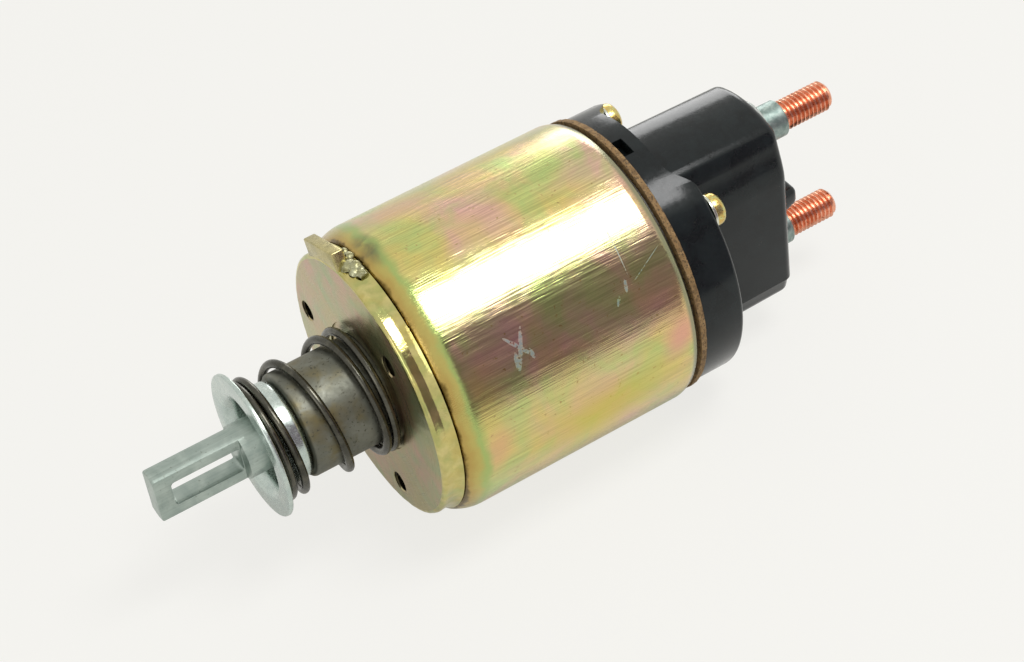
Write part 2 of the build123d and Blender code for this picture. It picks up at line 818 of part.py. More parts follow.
# Slotted link: round bar, flattened and slotted for the shift lever, with a head inside the plunger
with BuildPart() as slotted_link:
    with BuildSketch(Plane.YZ.offset(link_tip_x)):
        Circle(link_radius)
    extrude(amount=link_head_front_x - link_tip_x)
    chamfer(slotted_link.edges().group_by(Axis.X)[0], link_tip_chamfer)
    for side in (1, -1):
        with BuildSketch(Plane.XZ.offset(side * link_half_thickness)):
            with Locations(((link_tip_x + link_crease_x) / 2, 0)):
                Rectangle(link_crease_x - link_tip_x, 2 * link_radius)
        extrude(amount=side * link_radius, mode=Mode.SUBTRACT)
    with BuildSketch(Plane.XZ):
        with Locations(((slot_front_x + slot_rear_x) / 2, 0)):
            RectangleRounded(slot_rear_x - slot_front_x, 2 * slot_half_height, slot_corner_radius)
    extrude(amount=link_radius, both=True, mode=Mode.SUBTRACT)
    with BuildSketch(Plane.YZ.offset(link_head_front_x)):
        Circle(link_head_radius)
    extrude(amount=link_head_thickness)
finish(slotted_link, "slotted_link")

# Link spring between the link's head and the ring in the plunger's mouth
link_spring_length = link_head_front_x - link_collar_back_x - 2 * link_spring_wire
link_spring = wound_spring(
    ((link_spring_turns, link_spring_length / link_spring_turns),),
    link_spring_wire,
    link_collar_back_x,
    (link_radius + plunger_bore_radius) / 2,
    (link_radius + plunger_bore_radius) / 2,
    sides=6,
)
finish(link_spring, "link_spring")

# Push rod: slim through the core, thick behind it, with a clip for the contact disc
with BuildPart() as contact_rod:
    with BuildSketch(Plane.YZ.offset(rod_tip_x)):
        Circle(rod_radius)
    extrude(amount=rod_clip_back_x + rod_tail - rod_tip_x)
    chamfer(contact_rod.edges().group_by(Axis.X)[0], core_edge_chamfer)
    with BuildSketch(Plane.YZ.offset(rod_collar_front_x)):
        Circle(rod_collar_radius)
    extrude(amount=rod_collar_length)
finish(contact_rod, "contact_rod")
rod_clip = tube(clip_radius, rod_radius + bolt_gap, bush_back_x, rod_clip_back_x)
finish(rod_clip, "rod_clip")

# Contact disc between its two insulating bushes
contact_disc = tube(disc_radius, bush_hub_radius + bolt_gap, disc_front_x, disc_back_x)
finish(contact_disc, "contact_disc")
disc_middle_x = (disc_front_x + disc_back_x) / 2
bushes = (
    ("disc_bush_front", bush_front_x, disc_front_x, disc_front_x, disc_middle_x),
    ("disc_bush_rear", disc_back_x, bush_back_x, disc_middle_x, disc_back_x),
)
for name, flange_front, flange_back, hub_front, hub_back in bushes:
    with BuildPart() as bush:
        with BuildSketch(Plane.YZ.offset(flange_front)):
            Circle(bush_flange_radius)
        extrude(amount=flange_back - flange_front)
        with BuildSketch(Plane.YZ.offset(hub_front)):
            Circle(bush_hub_radius)
        extrude(amount=hub_back - hub_front)
        with BuildSketch(Plane.YZ.offset(bush_front_x)):
            Circle(rod_radius + running_gap)
        extrude(amount=bush_back_x - bush_front_x, mode=Mode.SUBTRACT)
    finish(bush, name)

# Contact spring behind the rod's collar, and the spring that opens the contact
contact_spring_length = bush_front_x - rod_collar_back_x - 2 * contact_spring_wire
contact_spring = wound_spring(
    ((contact_spring_turns, contact_spring_length / contact_spring_turns),),
    contact_spring_wire,
    rod_collar_back_x,
    contact_spring_radius,
    contact_spring_radius,
    sides=6,
)
finish(contact_spring, "contact_spring")
rod_spring_length = chamber_end_x + rod_spring_seat_depth - rod_clip_back_x - 2 * rod_spring_wire
rod_spring = wound_spring(
    ((rod_spring_turns, rod_spring_length / rod_spring_turns),),
    rod_spring_wire,
    rod_clip_back_x,
    rod_spring_radius,
    rod_spring_radius,
    sides=6,
)
finish(rod_spring, "rod_spring")
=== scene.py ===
"""Dressed model of a starter motor solenoid switch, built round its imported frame.

Sizes are in millimetres and become metres when a piece is placed. X is the plunger's axis: the
mounting face lies at x = 0 and the studs point towards +X. A clock angle is measured about X, from
+Z towards +Y.
"""

import logging
import math
from dataclasses import dataclass
from enum import Enum
from typing import Any, Callable, Iterable, Optional, Sequence

import bmesh
import bpy
from mathutils import Matrix, Vector, noise


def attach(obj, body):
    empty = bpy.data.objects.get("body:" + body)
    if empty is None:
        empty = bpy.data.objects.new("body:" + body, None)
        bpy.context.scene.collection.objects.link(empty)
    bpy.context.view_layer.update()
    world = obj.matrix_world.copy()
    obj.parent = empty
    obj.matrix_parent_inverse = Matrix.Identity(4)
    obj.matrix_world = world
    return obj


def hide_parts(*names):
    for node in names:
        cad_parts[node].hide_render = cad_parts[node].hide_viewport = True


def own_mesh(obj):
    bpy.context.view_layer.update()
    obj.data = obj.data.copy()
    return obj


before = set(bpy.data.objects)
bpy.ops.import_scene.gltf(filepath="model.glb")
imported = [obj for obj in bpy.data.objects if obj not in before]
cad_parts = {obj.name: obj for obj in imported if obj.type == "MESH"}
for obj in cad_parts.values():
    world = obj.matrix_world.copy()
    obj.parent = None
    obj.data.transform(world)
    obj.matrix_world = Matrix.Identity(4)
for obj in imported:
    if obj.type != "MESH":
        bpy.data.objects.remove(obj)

MM = 0.001
AXIS = Vector((1.0, 0.0, 0.0))
ORIGIN = (0.0, 0.0, 0.0)
# Points nearer to each other than this, in millimetres, are one point.
MERGE = 1e-4
LOG = logging.getLogger("solenoid_switch")

Solid = bmesh.types.BMesh
Tree = bpy.types.NodeTree
Socket = bpy.types.NodeSocket
Colour = tuple[float, float, float, float]
Centre = tuple[float, float]
Profile = Sequence[tuple[float, ...]]
Test = Callable[[Vector], bool]


def clock_point(x: float, radius: float, clock: float) -> Vector:
    """Point at a station, a radius and a clock angle about the plunger's axis."""
    angle = math.radians(clock)
    return Vector((x, radius * math.sin(angle), radius * math.cos(angle)))


def clock_centre(radius: float, clock: float) -> Centre:
    """Place (y, z) at a radius and a clock angle about the plunger's axis."""
    spot = clock_point(0.0, radius, clock)
    return (spot.y, spot.z)


def screw_centres(radius: float) -> list[Centre]:
    """Places (y, z) of the cap's four screws on their circle."""
    return [clock_centre(radius, 45.0 + 90.0 * quarter) for quarter in range(4)]


def shift(bm: Solid, way: Sequence[float]) -> None:
    """Moves a whole mesh."""
    bmesh.ops.translate(bm, verts=bm.verts, vec=way)


def rotate(bm: Solid, degrees: float, axis: str = "X") -> None:
    """Turns a whole mesh about an axis through the origin."""
    matrix = Matrix.Rotation(math.radians(degrees), 3, axis)
    bmesh.ops.rotate(bm, verts=bm.verts, cent=ORIGIN, matrix=matrix)


def widen(vert: bmesh.types.BMVert, share: float) -> None:
    """Scales a point's distance from the plunger's axis."""
    vert.co.y *= share
    vert.co.z *= share


def bevel(bm: Solid, geom: Sequence[Any], width: float, segments: int = 5, affect: str = "EDGES") -> None:
    """Rounds corners of a drawn outline, or edges of a solid.

    Args:
        bm: Mesh to work on.
        geom: Its corners or edges.
        width: Length taken from each side.
        segments: Steps in the rounding.
        affect: VERTICES for corners, EDGES for edges.
    """
    bmesh.ops.bevel(
        bm,
        geom=geom,
        offset=width,
        offset_type="OFFSET",
        segments=segments,
        profile=0.5,
        affect=affect,
        clamp_overlap=affect == "EDGES",
        material=-1,
    )


def soften(bm: Solid, width: float, angle: float = 40.0, segments: int = 2) -> None:
    """Bevels the sharp edges of a solid.

    Args:
        bm: Solid to work on.
        width: Length taken from each side.
        angle: Angle in degrees past which an edge is sharp.
        segments: Steps in the bevel.
    """
    limit = math.radians(angle)
    sharp = [edge for edge in bm.edges if edge.is_manifold and edge.calc_face_angle(0.0) > limit]
    bevel(bm, sharp, width, segments)


def spin(bm: Solid, geom: Sequence[Any], angle: float, steps: int, advance: float = 0.0,
         merge: bool = False) -> list[Any]:
    """Sweeps geometry about the plunger's axis.

    Args:
        bm: Mesh to work on.
        geom: What is swept.
        angle: Angle in radians.
        steps: Steps of the sweep.
        advance: Way along X in one step.
        merge: Whether the last step is joined to the first.

    Returns:
        What lies at the last step.
    """
    made = bmesh.ops.spin(
        bm,
        geom=geom,
        cent=ORIGIN,
        axis=AXIS,
        dvec=(advance, 0.0, 0.0),
        angle=angle,
        steps=steps,
        use_merge=merge,
    )
    return made["geom_last"]


def draw(bm: Solid, points: Sequence[Sequence[float]], closed: bool, rounds: Sequence[float] = ()) -> None:
    """Draws a line of edges through points and rounds its corners.

    Args:
        bm: Mesh to draw in.
        points: Corners in order.
        closed: Whether the last corner joins the first.
        rounds: Size of each corner's rounding, 0 for a sharp one.
    """
    verts = [bm.verts.new(point) for point in points]
    pairs = list(zip(verts, verts[1:]))
    if closed:
        pairs.append((verts[-1], verts[0]))
    for pair in pairs:
        bm.edges.new(pair)
    for vert, size in zip(verts, rounds):
        if size > 0:
            bevel(bm, [vert], size, affect="VERTICES")


def lathe(profile: Profile, segments: int = 128, closed: bool = False, centre: Centre = (0.0, 0.0),
          sweep: float = 360.0) -> Solid:
    """Turns a profile about an axis along X.

    Args:
        profile: Points (x, radius) or (x, radius, rounding of that corner).
        segments: Steps round the axis.
        closed: Whether the profile is a loop, as in a ring.
        centre: Place (y, z) of the axis.
        sweep: Degrees turned; less than 360 leaves a split ring with closed ends.

    Returns:
        The turned solid.
    """
    bm = bmesh.new()
    rounds = [point[2] if len(point) > 2 else 0.0 for point in profile]
    draw(bm, [(point[0], 0.0, point[1]) for point in profile], closed, rounds)
    full = sweep >= 360.0
    if not full:
        bmesh.ops.contextual_create(bm, geom=bm.edges[:])
    spin(bm, bm.verts[:] + bm.edges[:] + bm.faces[:], math.radians(sweep), segments, merge=full)
    bmesh.ops.remove_doubles(bm, verts=bm.verts, dist=MERGE)
    shift(bm, (0.0, *centre))
    bmesh.ops.recalc_face_normals(bm, faces=bm.faces)
    return bm


def cylinder(front: float, back: float, radius: float, segments: int, centre: Centre = (0.0, 0.0)) -> Solid:
    """A plain round bar along X."""
    return lathe(((front, 0.0), (front, radius), (back, radius), (back, 0.0)), segments, centre=centre)


def prism(points: Sequence[Sequence[float]], rounds: Sequence[float], along: Sequence[float]) -> Solid:
    """Extrudes a rounded outline into a solid.

    Args:
        points: Corners of a flat outline.
        rounds: Rounding of each corner.
        along: Way and length of the extrusion.

    Returns:
        The solid.
    """
    bm = bmesh.new()
    draw(bm, points, True, rounds)
    bmesh.ops.contextual_create(bm, geom=bm.edges[:])
    made = bmesh.ops.extrude_face_region(bm, geom=bm.faces[:])
    moved = [item for item in made["geom"] if isinstance(item, bmesh.types.BMVert)]
    bmesh.ops.translate(bm, verts=moved, vec=along)
    bmesh.ops.recalc_face_normals(bm, faces=bm.faces)
    return bm


def block(low: Sequence[float], high: Sequence[float]) -> Solid:
    """A rectangular block between two corners."""
    bm = bmesh.new()
    bmesh.ops.create_cube(bm, size=1.0)
    bmesh.ops.scale(bm, verts=bm.verts, vec=[b - a for a, b in zip(low, high)])
    shift(bm, [(a + b) / 2 for a, b in zip(low, high)])
    return bm


# One ridge of a rolled thread: share of the pitch, and share of the way from root to crest.
THREAD_RIDGE = ((0.0, 0), (0.12, 0), (0.42, 1), (0.56, 1), (0.88, 0), (1.0, 0))


def thread(major: float, minor: float, pitch: float, front: float, back: float, centre: Centre,
           segments: int = 40) -> Solid:
    """A threaded rod along X, cut square at both ends.

    Args:
        major: Radius over the crests.
        minor: Radius at the roots.
        pitch: Advance of one turn.
        front: Station where it starts.
        back: Station where it ends.
        centre: Place (y, z) of its axis.
        segments: Steps in one turn.

    Returns:
        The closed solid.
    """
    bm = bmesh.new()
    start = front - 1.5 * pitch
    ridge = [(start + share * pitch, 0.0, major if crest else minor) for share, crest in THREAD_RIDGE]
    draw(bm, ridge, False)
    turns = math.ceil((back - front) / pitch) + 3
    spin(bm, bm.verts[:] + bm.edges[:], math.tau * turns, segments * turns, pitch / segments)
    bmesh.ops.remove_doubles(bm, verts=bm.verts, dist=10 * MERGE)
    for station, outward in ((front, -1.0), (back, 1.0)):
        bmesh.ops.bisect_plane(
            bm,
            geom=bm.verts[:] + bm.edges[:] + bm.faces[:],
            dist=MERGE / 10,
            plane_co=(station, 0.0, 0.0),
            plane_no=(outward, 0.0, 0.0),
            clear_outer=True,
        )
    bmesh.ops.holes_fill(bm, edges=[edge for edge in bm.edges if edge.is_boundary], sides=0)
    shift(bm, (0.0, *centre))
    bmesh.ops.recalc_face_normals(bm, faces=bm.faces)
    return bm


def taper_end(bm: Solid, radius: float, end: float, length: float, centre: Centre) -> None:
    """Narrows a rod towards its rear end, as the chamfer on a thread's last turns does.

    Args:
        bm: The rod.
        radius: Its radius where the chamfer starts.
        end: Station of its rear end.
        length: Length of the chamfer, which slopes at 45 degrees.
        centre: Place (y, z) of its axis.
    """
    for vert in bm.verts:
        reach = vert.co.x - end + length
        if reach <= 0:
            continue
        y = vert.co.y - centre[0]
        z = vert.co.z - centre[1]
        here = math.hypot(y, z)
        most = radius - reach
        if here > most > 0:
            vert.co.y = centre[0] + y * most / here
            vert.co.z = centre[1] + z * most / here


def coil(runs: Sequence[tuple[float, float]], wire: float, front: float, radii: tuple[float, float],
         start_clock: float = 0.0, sides: int = 14, steps: int = 48) -> Solid:
    """A wire wound about X in runs of turns and pitch, with square-cut ends.

    Args:
        runs: Turns and pitch of each stretch, from the front.
        wire: Radius of the wire.
        front: Station of the coil's front.
        radii: Mean radius at the front and at the rear.
        start_clock: Clock angle of the front end.
        sides: Sides of the wire's section.
        steps: Steps in one turn.

    Returns:
        The closed solid.
    """
    bm = bmesh.new()
    outward = clock_point(0.0, 1.0, start_clock)
    turn = Matrix((AXIS, outward, AXIS.cross(outward))).transposed().to_4x4()
    matrix = Matrix.Translation(clock_point(front + wire, radii[0], start_clock)) @ turn
    section = bmesh.ops.create_circle(bm, cap_ends=True, radius=wire, segments=sides, matrix=matrix)["verts"]
    faces = {face for vert in section for face in vert.link_faces}
    edges = {edge for vert in section for edge in vert.link_edges}
    geom = [*faces, *edges, *section]
    for turns, pitch in runs:
        count = max(4, round(turns * steps))
        geom = spin(bm, geom, math.tau * turns, count, turns * pitch / count)
    length = sum(turns * pitch for turns, pitch in runs)
    growth = (radii[1] - radii[0]) / length
    for vert in bm.verts:
        gone = min(max(vert.co.x - front - wire, 0.0), length)
        widen(vert, 1.0 + growth * gone / math.hypot(vert.co.y, vert.co.z))
    bmesh.ops.recalc_face_normals(bm, faces=bm.faces)
    return bm


def roughen(bm: Solid, amount: float, grain: float, test: Test) -> None:
    """Sinks points of a solid by smooth noise.

    Args:
        bm: Solid to work on.
        amount: Greatest depth in millimetres.
        grain: Size of the waves in millimetres.
        test: Which points are moved.
    """
    bm.normal_update()
    for vert in bm.verts:
        if test(vert.co):
            vert.co += vert.normal * amount * (noise.noise(vert.co / grain) - 1.0) / 2


def to_mesh(bm: Solid, name: str) -> bpy.types.Mesh:
    """Turns a working mesh in millimetres into a mesh datablock in metres."""
    bmesh.ops.scale(bm, verts=bm.verts, vec=(MM, MM, MM))
    mesh = bpy.data.meshes.new(name)
    bm.to_mesh(mesh)
    bm.free()
    return mesh


def add_object(name: str, data: Any) -> bpy.types.Object:
    """Puts a datablock into the scene as an object and returns it."""
    made = bpy.data.objects.new(name, data)
    bpy.context.scene.collection.objects.link(made)
    return made


class Cut(Enum):
    """How one solid is joined to another."""

    AWAY = "DIFFERENCE"
    ON = "UNION"
    WITHIN = "INTERSECT"


def carve(bm: Solid, steps: Sequence[tuple[Cut, Solid]]) -> Solid:
    """Joins or cuts a solid with others, in order, by exact booleans.

    Args:
        bm: Solid to work on.
        steps: What is done, and with which solid.

    Returns:
        The result, in millimetres.
    """
    body = add_object("work", to_mesh(bm, "work"))
    tools = []
    for cut, tool in steps:
        tools.append(add_object("tool", to_mesh(tool, "tool")))
        modifier = body.modifiers.new("cut", "BOOLEAN")
        modifier.operation = cut.value
        modifier.solver = "EXACT"
        modifier.object = tools[-1]
    graph = bpy.context.evaluated_depsgraph_get()
    mesh = bpy.data.meshes.new_from_object(body.evaluated_get(graph), depsgraph=graph)
    result = bmesh.new()
    result.from_mesh(mesh)
    bmesh.ops.scale(result, verts=result.verts, vec=(1 / MM, 1 / MM, 1 / MM))
    bmesh.ops.remove_doubles(result, verts=result.verts, dist=MERGE)
    for item in [body, *tools]:
        data = item.data
        bpy.data.objects.remove(item)
        bpy.data.meshes.remove(data)
    bpy.data.meshes.remove(mesh)
    return result


def cut_away(bm: Solid, cutters: Iterable[Solid]) -> Solid:
    """Cuts solids out of another one."""
    return carve(bm, [(Cut.AWAY, cutter) for cutter in cutters])


def srgb(value: str) -> Colour:
    """Linear colour of an sRGB hex value such as #c0ffee."""
    shares = [int(value[start:start + 2], 16) / 255 for start in (1, 3, 5)]
    linear = [share / 12.92 if share <= 0.04045 else ((share + 0.055) / 1.055) ** 2.4 for share in shares]
    return (linear[0], linear[1], linear[2], 1.0)


def add_node(tree: Tree, kind: str, links: Optional[dict[Any, Any]] = None,
             **settings: Any) -> bpy.types.Node:
    """Adds a node with its settings and links.

    Args:
        tree: Node tree to add to.
        kind: Type of shader node, such as Math.
        links: For each input, an output to link or a value to set.
        **settings: Attributes to set on the node.

    Returns:
        The new node.
    """
    node = tree.nodes.new("ShaderNode" + kind)
    for key, value in settings.items():
        setattr(node, key, value)
    for key, value in (links or {}).items():
        socket = node.inputs[key]
        if isinstance(value, Socket):
            tree.links.new(value, socket)
        else:
            socket.default_value = value
    return node


def chain(tree: Tree, operation: str, values: Iterable[Any]) -> Socket:
    """Combines values two by two, from the first on.

    Args:
        tree: Node tree to add to.
        operation: What is done with each pair, such as MAXIMUM.
        values: Outputs or numbers in order.

    Returns:
        The result of the last pair.
    """
    total, *rest = values
    for value in rest:
        total = add_node(tree, "Math", {0: total, 1: value}, operation=operation).outputs[0]
    return total


# A noise texture mostly stays in this band, which is stretched to the whole of a range.
NOISE_LOW, NOISE_HIGH = 0.3, 0.7
# Brushed marks are drawn out along the axis by this share of their spacing round it.
BRUSHED_STRETCH = 0.018
# Turned marks run round the axis and only drift a little on their way.
TURNED_DRIFT = 0.04
# Size of the accent's patches beside that of the tint's.
SMALL_PATCH = 0.55
# Softness of the specks' edges.
SPECK_SOFT = 0.08
# How far rubbing takes the metal's shine away, and how much rougher it leaves the surface.
RUBBED_METAL, RUBBED_ROUGH = -0.75, 0.4


class Grain(Enum):
    """How a surface was worked, which sets the way its fine marks run."""

    EVEN = "even"
    ALONG = "drawn or brushed along the axis"
    TURNED = "turned or wound round the axis"


@dataclass(frozen=True)
class Finish:
    """A finish: colours that drift in patches, and fine marks in roughness and relief.

    Attributes:
        name: What the real material is.
        base: Main colour.
        tint: Colour of the broad patches.
        accent: Colour of the smaller patches.
        metallic: 1 for bare or plated metal.
        rough: Lowest and highest roughness.
        grain: Way the fine marks run.
        grain_mm: Spacing of the fine marks.
        patch_mm: Size of the colour patches.
        soft: Softness of their edges.
        relief_mm: Height of the fine marks.
        tint_share: How much of the surface the tint takes.
        accent_share: How much of the surface the accent takes.
        speck: Colour of small specks, if it has any.
        speck_mm: Size of the specks.
        speck_share: How much of the surface the specks take.
        shade: Darkest and brightest share of the colour in the fine marks.
        pitch_mm: Spacing of wound turns, if the piece is wound.
        coat: Strength of a clear layer.
        transmission: Share of light let through.
        ior: Index of refraction.
    """

    name: str
    base: str
    tint: str
    accent: str
    metallic: float = 1.0
    rough: tuple[float, float] = (0.25, 0.4)
    grain: Grain = Grain.EVEN
    grain_mm: float = 0.25
    patch_mm: float = 12.0
    soft: float = 0.3
    relief_mm: float = 0.01
    tint_share: float = 0.5
    accent_share: float = 0.35
    speck: Optional[str] = None
    speck_mm: float = 0.5
    speck_share: float = 0.3
    shade: tuple[float, float] = (0.9, 1.08)
    pitch_mm: float = 0.0
    coat: float = 0.0
    transmission: float = 0.0
    ior: float = 1.5

    def marks(self, tree: Tree, place: Socket) -> Socket:
        """Draws the fine marks, which run the way of the grain.

        Args:
            tree: Node tree to add to.
            place: Object coordinates.

        Returns:
            The marks from 0 to 1.
        """
        fine = 1 / (self.grain_mm * MM)
        scale = (fine, fine, fine)
        detail = 4.0
        if self.grain is Grain.TURNED:
            x, y, z = add_node(tree, "SeparateXYZ", {0: place}).outputs
            flat = add_node(tree, "CombineXYZ", {1: y, 2: z}).outputs[0]
            radius = add_node(tree, "VectorMath", {0: flat}, operation="LENGTH").outputs["Value"]
            slow = chain(tree, "MULTIPLY", (y, TURNED_DRIFT))
            place = add_node(tree, "CombineXYZ", {0: x, 1: radius, 2: slow}).outputs[0]
        elif self.grain is Grain.ALONG:
            scale = (fine * BRUSHED_STRETCH, fine, fine)
            detail = 1.6
        scaled = add_node(tree, "Mapping", {"Vector": place, "Scale": scale}).outputs[0]
        links = {"Vector": scaled, "Scale": 1.0, "Detail": detail, "Roughness": 0.62}
        return add_node(tree, "TexNoise", links).outputs[0]

    def patches(self, tree: Tree, place: Socket, size_mm: float, share: float, offset: float,
                soft: float) -> Socket:
        """Draws soft-edged patches.

        Args:
            tree: Node tree to add to.
            place: Object coordinates.
            size_mm: Size of the patches in millimetres.
            share: How much of the surface they cover.
            offset: Way in metres to a part of the noise that no other patches use.
            soft: Softness of their edges.

        Returns:
            Their strength from 0 to 1.
        """
        moved = add_node(tree, "Mapping", {"Vector": place, "Location": (offset, offset, -offset)}).outputs[0]
        links = {"Vector": moved, "Scale": 1 / (size_mm * MM), "Detail": 3.0, "Distortion": 0.5}
        cloud = add_node(tree, "TexNoise", links).outputs[0]
        edge = 0.5 + (0.5 - share) * 0.42
        links = {"Value": cloud, "From Min": edge - soft / 2, "From Max": edge + soft / 2}
        return add_node(tree, "MapRange", links, interpolation_type="SMOOTHSTEP").outputs[0]

    def spread(self, tree: Tree, marks: Socket, limits: tuple[float, float]) -> Socket:
        """Lets a value run between two limits with the fine marks."""
        band = {"From Min": NOISE_LOW, "From Max": NOISE_HIGH, "To Min": limits[0], "To Max": limits[1]}
        return add_node(tree, "MapRange", {"Value": marks, **band}).outputs[0]

    def overlay(self, tree: Tree, ground: Any, layers: Iterable[tuple[Any, Any]],
                blend: str = "MIX") -> Socket:
        """Lays colours over a ground colour.

        Args:
            tree: Node tree to add to.
            ground: The ground colour.
            layers: Share and colour of each layer, in order.
            blend: How each layer is laid on.

        Returns:
            The colour on top.
        """
        for share, colour in layers:
            links = {0: share, 6: ground, 7: colour}
            ground = add_node(tree, "Mix", links, data_type="RGBA", blend_type=blend).outputs[2]
        return ground

    def wear(self, tree: Tree, place: Socket) -> Optional[Socket]:
        """Where the surface is rubbed dull, from 0 to 1, or nothing if it isn't."""
        return None

    def colour(self, tree: Tree, place: Socket, marks: Socket, worn: Optional[Socket]) -> Socket:
        """Mixes the colour with its broad patches, smaller patches and specks.

        Args:
            tree: Node tree to add to.
            place: Object coordinates.
            marks: The fine marks, which darken and brighten it.
            worn: Where the surface is rubbed dull; not used here.

        Returns:
            The surface's colour.
        """
        kinds = [
            (self.tint, self.patch_mm, self.tint_share, 0.013, self.soft),
            (self.accent, self.patch_mm * SMALL_PATCH, self.accent_share, 0.031, self.soft),
        ]
        if self.speck:
            kinds.append((self.speck, self.speck_mm, self.speck_share, 0.007, SPECK_SOFT))
        layers = [(self.patches(tree, place, *numbers), srgb(tone)) for tone, *numbers in kinds]
        result = self.overlay(tree, srgb(self.base), layers)
        shade = self.spread(tree, marks, self.shade)
        grey = add_node(tree, "CombineXYZ", {0: shade, 1: shade, 2: shade}).outputs[0]
        return self.overlay(tree, result, [(1.0, grey)], "MULTIPLY")

    def height(self, tree: Tree, place: Socket, marks: Socket) -> Socket:
        """Relief of the surface: its marks, or its turns where it is wound.

        Args:
            tree: Node tree to add to.
            place: Object coordinates.
            marks: The fine marks.

        Returns:
            The height from 0 to 1.
        """
        if not self.pitch_mm:
            return marks
        x = add_node(tree, "SeparateXYZ", {0: place}).outputs[0]
        phase = chain(tree, "MULTIPLY", (x, math.tau / (self.pitch_mm * MM)))
        wave = add_node(tree, "Math", {0: phase}, operation="SINE").outputs[0]
        return add_node(tree, "Math", {0: wave}, operation="ABSOLUTE").outputs[0]

    def build(self) -> bpy.types.Material:
        """Builds the material.

        Returns:
            The finished material.
        """
        material = bpy.data.materials.new(self.name)
        material.use_nodes = True
        tree = material.node_tree
        inputs = tree.nodes["Principled BSDF"].inputs
        place = add_node(tree, "TexCoord").outputs["Object"]
        marks = self.marks(tree, place)
        rough = self.spread(tree, marks, self.rough)
        constants = {
            "Metallic": self.metallic,
            "Coat Weight": self.coat,
            "Coat Roughness": 0.12,
            "Transmission Weight": self.transmission,
            "IOR": self.ior,
        }
        for key, value in constants.items():
            inputs[key].default_value = value
        worn = self.wear(tree, place)
        if worn:
            links = {0: worn, 1: RUBBED_METAL, 2: self.metallic}
            dull = add_node(tree, "Math", links, operation="MULTIPLY_ADD").outputs[0]
            tree.links.new(dull, inputs["Metallic"])
            links = {0: worn, 1: RUBBED_ROUGH, 2: rough}
            rough = add_node(tree, "Math", links, operation="MULTIPLY_ADD").outputs[0]
        height = self.height(tree, place, marks)
        bump = add_node(tree, "Bump", {"Strength": 1.0, "Distance": self.relief_mm * MM, "Height": height})
        tree.links.new(self.colour(tree, place, marks, worn), inputs["Base Color"])
        tree.links.new(rough, inputs["Roughness"])
        tree.links.new(bump.outputs[0], inputs["Normal"])
        return material


@dataclass(frozen=True)
class Stroke:
    """A soft-edged stroke on the rolled-out can.

    Attributes:
        middle: Its middle (x, length round the can), in millimetres.
        slope: Its angle in degrees.
        length: Half its length in millimetres.
        width: Half its width in millimetres.
        strength: Share of the colour under it that it covers.
        tone: Its colour, where it has one of its own.
    """

    middle: tuple[float, float]
    slope: float
    length: float
    width: float
    strength: float = 1.0
    tone: str = ""

    def share(self, tree: Tree, u: Socket, v: Socket, core: float) -> Socket:
        """Strength of the stroke from 0 to 1.

        Args:
            tree: Node tree to add to.
            u: Station along the can in metres.
            v: Length round the can in metres.
            core: Share of the stroke that is at full strength.

        Returns:
            The strength at each place.
        """
        links = {
            "Vector": add_node(tree, "CombineXYZ", {0: u, 1: v}).outputs[0],
            "Location": (self.middle[0] * MM, self.middle[1] * MM, 0.0),
            "Rotation": (0.0, 0.0, math.radians(self.slope)),
            "Scale": (self.length * MM, self.width * MM, 1.0),
        }
        turned = add_node(tree, "Mapping", links, vector_type="TEXTURE").outputs[0]
        far = add_node(tree, "VectorMath", {0: turned}, operation="LENGTH").outputs["Value"]
        links = {"Value": far, "From Min": 1.1, "From Max": core}
        return add_node(tree, "MapRange", links, interpolation_type="SMOOTHSTEP").outputs[0]


